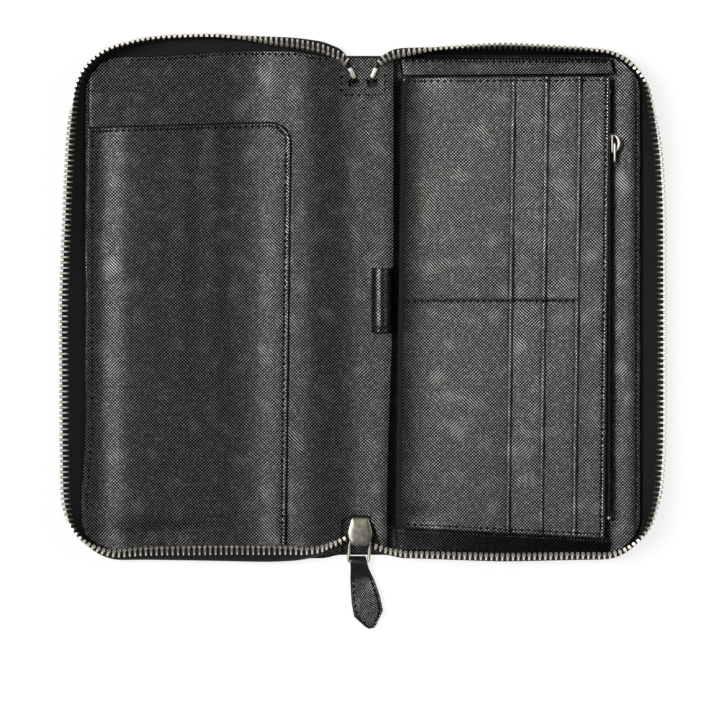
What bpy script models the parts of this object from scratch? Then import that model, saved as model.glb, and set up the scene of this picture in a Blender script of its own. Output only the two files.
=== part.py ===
"""Zip-around travel document organizer, lying open on its outer faces.

Two leather covers fold on a narrow spine. The left one holds a slip pocket, the right one
a bellows pouch with card slots and an inner zip. A metal zip runs round three sides of
each cover; its slider, with a wire bail and a leather tab, rests at the lower spine end.
+X is right, +Y is towards the top of the page, +Z is up; the outer faces lie on Z = 0.
Sizes are in millimetres and become metres when a mesh is made.
"""

import math

import bmesh
import bpy
import numpy as np

MM = 0.001

# Covers and spine
COVER_LENGTH = 208.0
COVER_REACH = 115.5
CORNER_RADIUS = 17.0
SPINE_WIDTH = 22.0
SPINE_STEP = 2.0
FOLD_GAP = 0.3
SEAT = 0.3

# Layers, from the table up
LEATHER = 1.2
BOARD = 0.6
LINING = 0.8
PANEL = 0.9
BOARD_INSET = 8.0
LINING_INSET = 3.2
SPINE_BULGE = 1.2

# Main zip
TAPE = 0.6
TAPE_INSET = 1.2
TAPE_FLANGE = 5.0
TOOTH_LENGTH = 3.9
TOOTH_WIDTH = 1.3
TOOTH_THICKNESS = 1.5
TOOTH_PITCH = 2.2
CORD_WIDTH = 0.9
TOP_END = 15.0
BOTTOM_END = 17.5
LEAN_EASE = 14.0

# How the tape leans at its foot and at its teeth, in degrees outward from upright, at nine
# stations: the lower spine end, the lower edge and its corner, the fore edge low, half way up
# and high, the upper corner, the upper edge and the upper spine end
LEFT_LEAN = ((14, -32), (34, -48), (34, 0), (42, 60), (46, 60), (24, 44), (14, 4), (82, 16),
             (80, -40))
RIGHT_LEAN = ((26, -28), (44, -30), (0, 0), (36, 46), (36, 48), (34, 40), (6, 2), (12, 22),
              (48, -36))

# Left slip pocket
POCKET_DROP = 31.0
POCKET_SPINE_EDGE = 31.2
POCKET_RADIUS = 9.0
POCKET_INSET = 0.6

# Card pouch
POUCH_EDGE = 13.4
POUCH_FORE_GAP = 15.1
POUCH_END_GAP = 10.5
BACK_TILT = 2.7
CARD_TILT = 5.0
CARD_STEP = 13.5
LAST_STEP = 11.4
SLOT_BASE = 13.0
CARD_RADIUS = 3.0
GUSSET = 0.8
GUSSET_WIDTH = 7.8

# Inner zip
COIL_WIDTH = 0.8
COIL_THICKNESS = 1.5
COIL_GAP = 1.0
INNER_TAPE = 0.5
INNER_PLATE = 0.6
INNER_SLIDER_DROP = 27.5
INNER_SLIDER_LENGTH = 8.0
INNER_CROWN = 3.0
INNER_PULL_LENGTH = 7.5
INNER_ZIP_INSET = 7.5
RUN = 0.2

# Pen loop
LOOP_OUTER = 8.2
LOOP_WALL = 0.9
LOOP_LENGTH = 26.7
LOOP_X = 7.4
LOOP_Y = 1.8

# Slider, bail and tab
SLIDER_X = -1.2
SLIDER_RISE = 3.2
SLIDER_LENGTH = 11.9
SLIDER_WIDTH = 10.2
SLIDER_PLATE = 1.0
SLIDER_CHANNEL = 2.6
CROWN_STRIP = 0.8
CROWN_ROOM = 1.9
CROWN_WIDTH = 2.4
CUTOUT_HALF = 7.6
CUTOUT_PAST = 3.4
CUTOUT_RADIUS = 5.0
TAIL_HIDDEN = 4.5
BAIL_WIRE = 1.3
BAIL_HALF = 4.2
BAIL_LENGTH = 8.8
TAB_LENGTH = 27.5
TAB_TOP_WIDTH = 7.0
TAB_WIDTH = 12.0
TAB_POINT = 5.4
TAB_THICKNESS = 1.7
TAB_SKEW = 11.0

# Zip ends at the top of the spine
STOP_LENGTH = 5.6
STOP_WIDTH = 2.0
STOP_X = 4.3
STOP_DROP = 7.6
STOP_TURN = 24.0
END_WIDTH = 3.4
SLOT_WIDTH = 5.6
SLOT_LENGTH = 5.6
SLOT_DROP = 3.8

# Heights and places that follow
HALF = COVER_LENGTH / 2
SPINE_HALF = HALF - SPINE_STEP
FOLD_X = SPINE_WIDTH / 2
SPINE_SIDE = FOLD_X - FOLD_GAP
COVER_SIDE = FOLD_X + FOLD_GAP
MIDDLE = max(BOARD, TAPE)
Z_BOARD = LEATHER + SEAT
Z_TAPE = Z_BOARD + MIDDLE / 2
Z_LINING = Z_BOARD + MIDDLE + SEAT
Z_TOP = Z_LINING + LINING
TAPE_RISE = FOLD_X + Z_TOP - Z_TAPE - TOOTH_LENGTH - 2 * SEAT
POCKET_TOP = HALF - POCKET_DROP
POUCH_Z = Z_TOP + SEAT
POUCH_WIDTH = COVER_REACH - POUCH_FORE_GAP - POUCH_EDGE
POUCH_HALF = HALF - POUCH_END_GAP
FRONT_DEPTH = POUCH_WIDTH - LAST_STEP - 2 * CARD_STEP
INNER_ZIP_HALF = POUCH_HALF - INNER_ZIP_INSET
INNER_SLIDER_Y = POUCH_HALF - INNER_SLIDER_DROP
BACK_UNDER = 0.3
CARD_UNDER = BACK_UNDER + PANEL + SEAT
Z_LOWER_PLATE = LEATHER + SEAT + CROWN_STRIP + CROWN_ROOM
Z_CHAIN = Z_LOWER_PLATE + SLIDER_PLATE + SLIDER_CHANNEL / 2
NOSE_Y = SLIDER_RISE - SPINE_HALF
SLIDER_TOP_Y = NOSE_Y + SLIDER_LENGTH
CUTOUT_TOP_Y = SLIDER_TOP_Y + CUTOUT_PAST
STOP_Y = SPINE_HALF - STOP_DROP
BAIL_Y = NOSE_Y + CROWN_STRIP + BAIL_WIRE / 2 + 0.9
BAIL_Z = Z_LOWER_PLATE - CROWN_ROOM / 2
BAIL_END_Y = BAIL_Y - BAIL_LENGTH
BAIL_END_Z = BAIL_Z - 0.9
LOOP_Z = Z_TOP + SPINE_BULGE * 0.6 + SEAT + LOOP_OUTER / 2


def look(name, colour, roughness, metallic=0.0):
    """A named Principled material."""
    material = bpy.data.materials.new(name)
    material.use_nodes = True
    shader = material.node_tree.nodes["Principled BSDF"]
    shader.inputs["Base Color"].default_value = (*colour, 1.0)
    shader.inputs["Roughness"].default_value = roughness
    shader.inputs["Metallic"].default_value = metallic
    return material


def axis(name, place, parent=None):
    """An empty on a joint's axis, given in millimetres of the shared frame."""
    empty = bpy.data.objects.new(name, None)
    empty["place"] = place
    start = parent["place"] if parent else (0.0, 0.0, 0.0)
    empty.location = [(a - b) * MM for a, b in zip(place, start)]
    empty.parent = parent
    bpy.context.scene.collection.objects.link(empty)
    return empty


def solid(name, shape, material, parent):
    """One named object from (points, faces) in millimetres, hung on a joint's empty."""
    points, faces = shape
    mesh = bpy.data.meshes.new(name)
    local = (np.asarray(points, float) - np.array(parent["place"])) * MM
    mesh.from_pydata(local.tolist(), [], faces)
    shell = bmesh.new()
    shell.from_mesh(mesh)
    bmesh.ops.recalc_face_normals(shell, faces=shell.faces)
    shell.to_mesh(mesh)
    shell.free()
    mesh.materials.append(material)
    item = bpy.data.objects.new(name, mesh)
    item.parent = parent
    bpy.context.scene.collection.objects.link(item)
    return item


def shaped(item, operation, shape):
    """Join a helper shape to an object, or cut it away, with an exact Boolean."""
    helper = solid(item.name + "_helper", shape, item.data.materials[0], item.parent)
    helper.hide_render = True
    helper.display_type = "WIRE"
    change = item.modifiers.new(operation.lower(), "BOOLEAN")
    change.operation = operation
    change.solver = "EXACT"
    change.object = helper


def loft(rings, closed=False):
    """Skin over rings of equal count; the ends are capped unless the row closes on itself."""
    rings = np.asarray(rings, float)
    rows, count = rings.shape[:2]
    points = rings.reshape(-1, 3)
    faces = []
    for row in range(rows if closed else rows - 1):
        here, there = row * count, (row + 1) % rows * count
        for k in range(count):
            step = (k + 1) % count
            faces.append((here + k, here + step, there + step, there + k))
    if not closed:
        faces.append(tuple(range(count)))
        faces.append(tuple(range((rows - 1) * count, rows * count)))
    return points, faces


def prism(outline, low, high):
    """A flat outline raised from one height to another."""
    flat = np.asarray(outline, float)
    return loft([np.column_stack([flat, np.full(len(flat), z)]) for z in (low, high)])


def box(centre, size):
    """An upright block about its centre."""
    x, y, z = np.array(size) / 2
    outline = [(centre[0] + a * x, centre[1] + b * y) for a, b in ((-1, -1), (1, -1), (1, 1), (-1, 1))]
    return prism(outline, centre[2] - z, centre[2] + z)


def rounded(corners, radii, steps=6):
    """An outline whose corners are arcs; a corner of radius 0 stays sharp."""
    corners = np.asarray(corners, float)
    outline = []
    for k, (corner, radius) in enumerate(zip(corners, radii)):
        if radius == 0:
            outline.append(corner)
            continue
        before = corners[k - 1] - corner
        after = corners[(k + 1) % len(corners)] - corner
        before /= np.linalg.norm(before)
        after /= np.linalg.norm(after)
        centre = corner + radius * (before + after)
        for turn in np.linspace(0, math.pi / 2, steps + 1):
            outline.append(centre - radius * (after * math.cos(turn) + before * math.sin(turn)))
    return np.array(outline)


def cover_outline(side, inset, inner):
    """One cover's outline, its fore corners rounded, cut off at the fold."""
    fore, top = COVER_REACH - inset, HALF - inset
    radius = CORNER_RADIUS - inset
    corners = [(side * inner, -top), (side * fore, -top), (side * fore, top), (side * inner, top)]
    return rounded(corners, (0, radius, radius, 0))


def edge(side, along):
    """Points and outward normals round a cover's edge, from the lower fold to the upper.

    Two straight runs, two quarter circles and the fore edge, by distance along them.
    """
    along = np.atleast_1d(np.asarray(along, float))
    straight, upright, _, _ = edge_runs()
    turn_length = CORNER_RADIUS * math.pi / 2
    first = straight
    second = first + turn_length
    third = second + upright
    fourth = third + turn_length
    cx, cy = COVER_REACH - CORNER_RADIUS, HALF - CORNER_RADIUS
    low = np.clip((along - first) / CORNER_RADIUS, 0, math.pi / 2)
    high = np.clip((along - third) / CORNER_RADIUS, 0, math.pi / 2)
    heading = low + high
    nx, ny = np.sin(heading), -np.cos(heading)
    x = cx + CORNER_RADIUS * nx + np.minimum(along - first, 0) - np.maximum(along - fourth, 0)
    y = np.clip(along - second, 0, upright) - cy + CORNER_RADIUS * ny
    return np.column_stack([side * x, y]), np.column_stack([side * nx, ny])


def edge_runs():
    """The lower run, the fore edge's straight, the upper run, and the whole distance."""
    straight = COVER_REACH - CORNER_RADIUS - BOTTOM_END
    upright = COVER_LENGTH - 2 * CORNER_RADIUS
    upper = COVER_REACH - CORNER_RADIUS - TOP_END
    return straight, upright, upper, straight + upright + upper + CORNER_RADIUS * math.pi


def lean(table, along):
    """The tape's lean at foot and teeth in radians, eased between the nine stations."""
    straight, upright, upper, whole = edge_runs()
    turn = CORNER_RADIUS * math.pi / 2
    fore = straight + turn
    stations = (0, straight / 2, straight + turn / 2, fore + upright * 0.15, fore + upright / 2,
                fore + upright * 0.85, fore + upright + turn / 2, whole - upper / 2, whole)
    fine = np.linspace(0, whole, 400)
    values = []
    for column in np.radians(np.array(table, float)).T:
        rough = np.interp(fine, stations, column)
        values.append([np.average(rough, weights=np.exp(-((fine - s) / LEAN_EASE) ** 2)) for s in along])
    return np.array(values)


def arc(foot, teeth, length, whole):
    """Offset out and up at a distance up a strip that bends evenly from one lean to another."""
    half = (teeth - foot) * length / whole / 2
    reach = length * np.sinc(half / math.pi)
    return reach * np.sin(foot + half), reach * np.cos(foot + half)


def zip_tape(side, table):
    """The standing tape: a flange under the lining and a wall that bends by its lean."""
    straight, upright, upper, whole = edge_runs()
    turn = CORNER_RADIUS * math.pi / 2
    marks = np.concatenate([
        np.linspace(0, straight, 8)[:-1],
        straight + np.linspace(0, turn, 7)[:-1],
        straight + turn + np.linspace(0, upright, 10)[:-1],
        straight + turn + upright + np.linspace(0, turn, 7)[:-1],
        whole - upper + np.linspace(0, upper, 9)])
    points, normals = edge(side, marks)
    foot, teeth = lean(table, marks)
    rings = []
    for place, normal, a0, a1 in zip(points, normals, foot, teeth):
        bend = (math.pi / 2 + a0) / 2
        line = [(-TAPE_INSET - TAPE_FLANGE, Z_TAPE, math.pi / 2, 1.0),
                (-TAPE_INSET, Z_TAPE, bend, 1 / math.cos(math.pi / 2 - bend))]
        for share in (1 / 3, 2 / 3, 1.0):
            out, up = arc(a0, a1, TAPE_RISE * share, TAPE_RISE)
            line.append((out - TAPE_INSET, Z_TAPE + up, a0 + (a1 - a0) * share, 1.0))
        ring = []
        for way, row in ((1, line), (-1, line[::-1])):
            for out, up, angle, stretch in row:
                shift = way * TAPE / 2 * stretch
                n, z = out + shift * math.cos(angle), up - shift * math.sin(angle)
                ring.append((*(place + n * normal), z))
        rings.append(ring)
    return loft(rings)


def comb(frame, count, pitch):
    """A cord with teeth along it: frame(along, up, thick) gives points in space.

    Each tooth narrows to its tip; the cord's back has one point pair per tooth.
    """
    half, tip = TOOTH_WIDTH / 2, TOOTH_WIDTH * 0.36
    middle = (np.arange(count) + 0.5) * pitch
    back = np.arange(count + 1) * pitch
    rows = [(back, 0.0), (middle - half, CORD_WIDTH), (middle + half, CORD_WIDTH),
            (middle - tip, TOOTH_LENGTH), (middle + tip, TOOTH_LENGTH)]
    points, starts = [], []
    for along, up in rows:
        pair = []
        for way in (0.5, -0.5):
            pair.append(len(points))
            points.extend(frame(along, up, way * TOOTH_THICKNESS))
        starts.append(pair)
    faces = []
    for k in range(count):
        for side in (0, 1):
            b, r, s, t, u = (row[side] + k for row in starts)
            faces.append((b, b + 1, s, r))
            faces.append((r, s, u, t))
            if k + 1 < count:
                faces.append((s, b + 1, r + 1))
        pairs = [(starts[1], starts[3], k, k), (starts[3], starts[4], k, k), (starts[4], starts[2], k, k)]
        if k + 1 < count:
            pairs.append((starts[2], starts[1], k, k + 1))
        pairs.append((starts[0], starts[0], k, k + 1))
        for one, two, i, j in pairs:
            faces.append((one[0] + i, two[0] + j, two[1] + j, one[1] + i))
    first, last = starts[0], starts[0]
    faces.append((first[0], starts[1][0], starts[1][1], first[1]))
    end = count - 1
    faces.append((last[0] + count, starts[2][0] + end, starts[2][1] + end, last[1] + count))
    return points, faces


def zip_teeth(side, table):
    """The teeth on a cover's tape, carried on past its top edge at the same lean."""
    whole = edge_runs()[3]
    count = int(whole / TOOTH_PITCH)
    pitch = whole / count

    def frame(along, up, thick):
        along = np.clip(along, 0, whole)
        points, normals = edge(side, along)
        foot, teeth = lean(table, along)
        out, rise = arc(foot, teeth, TAPE_RISE, TAPE_RISE)
        reach = SEAT + up
        n = out - TAPE_INSET + reach * np.sin(teeth) + thick * np.cos(teeth)
        z = Z_TAPE + rise + reach * np.cos(teeth) - thick * np.sin(teeth)
        return np.column_stack([points + n[:, None] * normals, z])

    return comb(frame, count, pitch)


def strip(stations, thickness):
    """A thin ribbon through (edge point, other edge point) pairs, thick across its face."""
    pairs = np.array(stations, float)
    middle = pairs.mean(axis=1)
    run = np.gradient(middle, axis=0)
    face = np.cross(run, pairs[:, 1] - pairs[:, 0])
    face *= thickness / 2 / np.linalg.norm(face, axis=1)[:, None]
    return loft(np.stack([pairs[:, 0] - face, pairs[:, 1] - face, pairs[:, 1] + face,
                          pairs[:, 0] + face], axis=1))


def short_teeth(start, end, up_start, up_end, count):
    """A few teeth on a straight run between two points, pointing as the two ends say."""
    start, end = np.array(start, float), np.array(end, float)
    up_start, up_end = np.array(up_start, float), np.array(up_end, float)
    length = np.linalg.norm(end - start)

    def frame(along, up, thick):
        share = (np.clip(along, 0, length) / length)[:, None]
        way = up_start + share * (up_end - up_start)
        way /= np.linalg.norm(way, axis=1)[:, None]
        across = np.cross(end - start, way)
        across /= np.linalg.norm(across, axis=1)[:, None]
        return start + share * (end - start) + way * up + across * thick

    return comb(frame, count, length / count)


def tilted(shape, degrees):
    """Turn a shape given in (along, length, above) about the pouch's spine-side edge."""
    points, faces = shape
    u, v, w = np.asarray(points, float).T
    turn = math.radians(degrees)
    x = POUCH_EDGE + u * math.cos(turn) - w * math.sin(turn)
    z = POUCH_Z + u * math.sin(turn) + w * math.cos(turn)
    return np.column_stack([x, v, z]), faces


def bent_sheet(profile, thickness, half_length):
    """A sheet whose section is a line of (along, above), the same over its whole length."""
    under = np.array(profile, float)
    over = under[::-1] + (0, thickness)
    section = np.vstack([under, over])
    return loft([np.column_stack([section[:, 0], np.full(len(section), v), section[:, 1]])
                 for v in (-half_length, half_length)])


def make_spine(looks, spine):
    """Outer leather, board and bulged lining of the spine, with the lining's openings."""
    half = SPINE_HALF
    solid("spine_cover", box((0, 0, LEATHER / 2), (2 * SPINE_SIDE, 2 * half, LEATHER)),
          looks["leather"], spine)
    board_half = min(half, -CUTOUT_TOP_Y) - BOARD_INSET
    solid("spine_board", box((0, 0, Z_BOARD + BOARD / 2),
                             (2 * SPINE_SIDE - 2, 2 * board_half, BOARD)), looks["board"], spine)
    x = np.linspace(-SPINE_SIDE, SPINE_SIDE, 13)
    bulge = SPINE_BULGE * (1 - (x / SPINE_SIDE) ** 2)
    under = np.column_stack([x, Z_LINING + bulge])
    over = under[::-1] + (0, LINING)
    section = np.vstack([under, over])
    rings = [np.column_stack([section[:, 0], np.full(len(section), y), section[:, 1]])
             for y in (-half, half)]
    lining = solid("spine_lining", loft(rings), looks["lining"], spine)
    tall = 4 * (LINING + SPINE_BULGE)
    notch = CUTOUT_TOP_Y + half
    shaped(lining, "DIFFERENCE", prism(
        rounded([(SLIDER_X - CUTOUT_HALF, -half - 2), (SLIDER_X + CUTOUT_HALF, -half - 2),
                 (SLIDER_X + CUTOUT_HALF, -half + notch), (SLIDER_X - CUTOUT_HALF, -half + notch)],
                (0, 0, CUTOUT_RADIUS, CUTOUT_RADIUS)), Z_LINING - tall, Z_TOP + tall))
    for side in (-1, 1):
        centre = (side * (STOP_X + 1.4), STOP_Y - SLOT_DROP)
        w, h = SLOT_WIDTH / 2, SLOT_LENGTH / 2
        corners = [(centre[0] + a * w, centre[1] + b * h) for a, b in ((-1, -1), (1, -1), (1, 1), (-1, 1))]
        shaped(lining, "DIFFERENCE", prism(rounded(corners, (1.5,) * 4, 3), Z_LINING - tall, Z_TOP + tall))


def make_pen_loop(looks, spine):
    """A leather loop lying along the crease, with the foot that goes into the seam."""
    outer, inner = [], []
    radius = LOOP_OUTER / 2
    for k in range(20):
        turn = 2 * math.pi * k / 20 - math.pi / 2
        ray = np.array((math.cos(turn), math.sin(turn)))
        outer.append((LOOP_X, LOOP_Z) + ray * radius)
        inner.append((LOOP_X, LOOP_Z) + ray * (radius - LOOP_WALL))
    ends = (LOOP_Y - LOOP_LENGTH / 2, LOOP_Y + LOOP_LENGTH / 2)
    rings = []
    for outline, y in ((outer, ends[0]), (outer, ends[1]), (inner, ends[1]), (inner, ends[0])):
        outline = np.array(outline)
        rings.append(np.column_stack([outline[:, 0], np.full(len(outline), y), outline[:, 1]]))
    solid("pen_loop", loft(rings, closed=True), looks["lining"], spine)


def make_cover(side, name, looks, parent):
    """Outer leather, board and lining of one cover."""
    solid(name + "_cover", prism(cover_outline(side, 0, COVER_SIDE), 0, LEATHER), looks["leather"], parent)
    board = cover_outline(side, BOARD_INSET, COVER_SIDE + 1)
    solid(name + "_board", prism(board, Z_BOARD, Z_BOARD + BOARD), looks["board"], parent)
    solid(name + "_lining", prism(cover_outline(side, LINING_INSET, COVER_SIDE), Z_LINING, Z_TOP),
          looks["lining"], parent)
    table = LEFT_LEAN if side < 0 else RIGHT_LEAN
    solid(name + "_zip_tape", zip_tape(side, table), looks["tape"], parent)
    solid(name + "_zip_teeth", zip_teeth(side, table), looks["metal"], parent)


def make_slip_pocket(looks, left):
    """The slip pocket's panel, open towards the fore edge."""
    inset = LINING_INSET + POCKET_INSET
    fore, low = COVER_REACH - inset, HALF - inset
    corners = [(-POCKET_SPINE_EDGE, -low), (-POCKET_SPINE_EDGE, POCKET_TOP), (-fore, POCKET_TOP),
               (-fore, -low)]
    outline = rounded(corners, (0, POCKET_RADIUS, 0, CORNER_RADIUS - inset))
    solid("left_slip_pocket", prism(outline, Z_TOP + SEAT, Z_TOP + SEAT + PANEL), looks["lining"], left)


def make_pouch(looks, pouch, right):
    """Back sheet, card base, three stepped slot panels and the two gussets."""
    back = rounded([(SEAT, -POUCH_HALF), (POUCH_WIDTH - 1, -POUCH_HALF),
                    (POUCH_WIDTH - 1, POUCH_HALF), (SEAT, POUCH_HALF)],
                   (0, CARD_RADIUS, CARD_RADIUS, 0), 3)
    solid("pouch_back", tilted(prism(back, BACK_UNDER, BACK_UNDER + PANEL), BACK_TILT),
          looks["lining"], pouch)
    base = rounded([(SEAT, -POUCH_HALF), (POUCH_WIDTH, -POUCH_HALF),
                    (POUCH_WIDTH, POUCH_HALF), (SEAT, POUCH_HALF)],
                   (0, CARD_RADIUS, CARD_RADIUS, 0), 3)
    solid("card_panel_base", tilted(prism(base, CARD_UNDER, CARD_UNDER + PANEL), CARD_TILT),
          looks["lining"], pouch)
    layer = PANEL + SEAT
    first = CARD_UNDER + layer
    ramp = 5.0
    third = [(2 * SLOT_BASE, first), (FRONT_DEPTH + 2 * CARD_STEP, first)]
    second = [(SLOT_BASE, first), (2 * SLOT_BASE - ramp, first), (2 * SLOT_BASE - SEAT, first + layer),
              (FRONT_DEPTH + CARD_STEP, first + layer)]
    front = [(SEAT, first), (SLOT_BASE - ramp, first), (SLOT_BASE - SEAT, first + layer),
             (2 * SLOT_BASE - ramp - 1, first + layer), (2 * SLOT_BASE - 1 - SEAT, first + 2 * layer),
             (FRONT_DEPTH, first + 2 * layer)]
    for name, profile in (("third", third), ("second", second), ("front", front)):
        shape = tilted(bent_sheet(profile, PANEL, POUCH_HALF), CARD_TILT)
        solid("card_panel_" + name, shape, looks["lining"], pouch)
    for side, name in ((1, "top"), (-1, "bottom")):
        stations = []
        for share in np.linspace(0, 1, 5):
            x = POUCH_EDGE + 2 + share * (POUCH_WIDTH - 1)
            climb = share * POUCH_WIDTH * math.sin(math.radians(CARD_TILT)) * 0.9
            upper = Z_TOP + SEAT + GUSSET / 2 + 0.5 + climb
            foot = (x, side * (POUCH_HALF + GUSSET_WIDTH), Z_TOP + SEAT + GUSSET / 2)
            stations.append((foot, (x, side * (POUCH_HALF + SEAT + GUSSET / 2), upper)))
        solid("gusset_" + name, strip(stations, GUSSET), looks["lining"], right)


def inner_zip_place():
    """The inner zip's plane, its middle height, and the two heights that bound it."""
    turn = math.radians(BACK_TILT)
    rise = math.radians(CARD_TILT)
    low = POUCH_Z + (POUCH_WIDTH - 1) * math.sin(turn) + (BACK_UNDER + PANEL) * math.cos(turn)
    high = POUCH_Z + POUCH_WIDTH * math.sin(rise) + CARD_UNDER * math.cos(rise)
    plane = POUCH_EDGE + max((POUCH_WIDTH - 1) * math.cos(turn), POUCH_WIDTH * math.cos(rise)) + SEAT
    return plane + INNER_TAPE / 2, (low + high) / 2, low, high


def make_inner_zip(looks, pouch, slider, pull):
    """Tapes, coils and stops along the pouch's mouth, with the slider and its pull."""
    x, z, low, high = inner_zip_place()
    inner, outer = COIL_GAP / 2, COIL_GAP / 2 + COIL_WIDTH
    length = 2 * INNER_ZIP_HALF
    for name, way, end in (("back", -1, low - PANEL), ("card", 1, high + PANEL)):
        near = z + way * (outer + RUN)
        size = (INNER_TAPE, length, abs(end - near))
        solid("inner_zip_tape_" + name, box((x, 0, (near + end) / 2), size), looks["tape"], pouch)
        solid("inner_zip_coil_" + name, box((x, 0, z + way * (inner + outer) / 2),
                                            (COIL_THICKNESS, length, COIL_WIDTH)), looks["coil"], pouch)
    for name, way in (("top", 1), ("bottom", -1)):
        solid("inner_zip_stop_" + name, box((x, way * (INNER_ZIP_HALF + SEAT + 0.9), z),
                                            (COIL_THICKNESS, 1.8, 2 * outer)), looks["metal"], pouch)
    room = COIL_THICKNESS / 2 + RUN
    half = INNER_SLIDER_LENGTH / 2
    tall = (high - low) - 4 * RUN
    face = x + room + INNER_PLATE
    body = solid("inner_slider", box((face - INNER_PLATE / 2, INNER_SLIDER_Y, z),
                                     (INNER_PLATE, INNER_SLIDER_LENGTH, tall)), looks["metal"], slider)
    shaped(body, "UNION", box((x - room - INNER_PLATE / 2, INNER_SLIDER_Y, z),
                              (INNER_PLATE, INNER_SLIDER_LENGTH, tall * 0.8)))
    shaped(body, "UNION", box((x, INNER_SLIDER_Y + half - 1.2, z),
                              (2 * room + INNER_PLATE, 1.6, COIL_GAP - 2 * RUN)))
    turns = np.linspace(0, math.pi, 9)
    section = [(INNER_CROWN * math.sin(t), -(half - 0.5) * math.cos(t)) for t in turns]
    section += [((INNER_CROWN - 0.9) * math.sin(t), -(half - 1.4) * math.cos(t)) for t in turns[::-1]]
    section = np.array(section)
    section[section[:, 0] < 0.01, 0] = -0.3
    rings = [np.column_stack([face + section[:, 0], INNER_SLIDER_Y + section[:, 1],
                              np.full(len(section), z + way * 0.7)]) for way in (-1, 1)]
    shaped(body, "UNION", loft(rings))
    pin = (face + 0.65, INNER_SLIDER_Y)
    wire = 0.45
    w, top, end = 1.6, pin[1], pin[1] - INNER_PULL_LENGTH
    path = [(top, -w), (top, w), (top - 4.0, w + 0.3), (end, w), (end, -w), (top - 4.0, -w - 0.3)]
    rings = []
    for k, (y, dz) in enumerate(path):
        last, following = np.array(path[k - 1]), np.array(path[(k + 1) % len(path)])
        one = np.array((y, dz)) - last
        two = following - np.array((y, dz))
        way = one / np.linalg.norm(one) + two / np.linalg.norm(two)
        side = np.array((way[1], -way[0])) / np.linalg.norm(way)
        stretch = 1 / max(0.5, abs(np.dot(way / np.linalg.norm(way), one / np.linalg.norm(one))))
        ring = []
        for turn in np.arange(8) * math.pi / 4:
            flat = wire * math.sin(turn) * stretch
            ring.append((pin[0] + wire * math.cos(turn), y + side[0] * flat, z + dz + side[1] * flat))
        rings.append(ring)
    solid("inner_pull", loft(rings, closed=True), looks["metal"], pull)


def slider_half_width(share):
    """The slider plate's half width along its length, as a share of the widest."""
    return np.interp(share, (0, 0.08, 0.46, 0.59, 0.76, 0.89, 0.97, 1.0),
                     (0.62, 0.69, 0.96, 1.0, 0.93, 0.78, 0.42, 0.12)) * SLIDER_WIDTH / 2


def make_slider(looks, slider):
    """Two shield-shaped plates joined by a post, rims along the sides, a crown underneath."""
    shares = np.array((0, 0.08, 0.25, 0.46, 0.59, 0.76, 0.89, 0.97, 1.0))
    y = SLIDER_TOP_Y - shares * SLIDER_LENGTH
    half = slider_half_width(shares)
    sides = [np.column_stack([SLIDER_X + way * half, y]) for way in (1, -1)]
    outline = np.vstack([sides[0], sides[1][::-1]])
    low, high = Z_LOWER_PLATE, Z_LOWER_PLATE + 2 * SLIDER_PLATE + SLIDER_CHANNEL
    body = solid("zip_slider", prism(outline, low, low + SLIDER_PLATE), looks["metal"], slider)
    shaped(body, "UNION", prism(outline, high - SLIDER_PLATE, high))
    wedge = ((-1.6, 0.5), (1.6, 0.5), (2.0, 2.0), (0.5, 5.0), (-0.5, 5.0), (-2.0, 2.0))
    post = [(SLIDER_X + a, NOSE_Y + b) for a, b in wedge]
    shaped(body, "UNION", prism(post, low + SLIDER_PLATE / 2, high - SLIDER_PLATE / 2))
    rim, rise = 0.8, 0.6
    shares = np.array((0.04, 0.08, 0.25, 0.46))
    y = SLIDER_TOP_Y - shares * SLIDER_LENGTH
    for side in (-1, 1):
        wide = SLIDER_X + side * (slider_half_width(shares) - 0.1)
        line = np.vstack([np.column_stack([wide, y]), np.column_stack([wide - side * rim, y])[::-1]])
        shaped(body, "UNION", prism(line, low + SLIDER_PLATE / 2, low + SLIDER_PLATE + rise))
        shaped(body, "UNION", prism(line, high - SLIDER_PLATE - rise, high - SLIDER_PLATE / 2))
    bottom = low - CROWN_ROOM - CROWN_STRIP
    near, far = NOSE_Y + 0.5, SLIDER_TOP_Y - 2.0
    profile = [(near, low + 0.2), (near, bottom + 0.5), (near + 0.5, bottom), (far - 1.2, bottom),
               (far, low - 0.6), (far, low + 0.2), (far - CROWN_STRIP, low + 0.2),
               (far - CROWN_STRIP, low - 0.4),
               (far - 1.5, bottom + CROWN_STRIP), (near + CROWN_STRIP, bottom + CROWN_STRIP),
               (near + CROWN_STRIP, low + 0.2)]
    section = np.array(profile)
    rings = [np.column_stack([np.full(len(section), SLIDER_X + way * CROWN_WIDTH / 2), section])
             for way in (-1, 1)]
    shaped(body, "UNION", loft(rings))


def round_wire(path, radius, sides=8):
    """A closed wire loop through the given points, mitred at each bend."""
    path = np.array(path, float)
    before = path - np.roll(path, 1, axis=0)
    before /= np.linalg.norm(before, axis=1)[:, None]
    after = np.roll(before, -1, axis=0)
    flat = np.cross(before[0], before[1])
    flat /= np.linalg.norm(flat)
    rings = []
    for place, one, two in zip(path, before, after):
        way = one + two
        way /= np.linalg.norm(way)
        side = np.cross(flat, way) / np.dot(way, one)
        turns = np.arange(sides) * 2 * math.pi / sides
        rings.append(place + radius * (np.outer(np.cos(turns), side) + np.outer(np.sin(turns), flat)))
    return loft(rings, closed=True)


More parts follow.
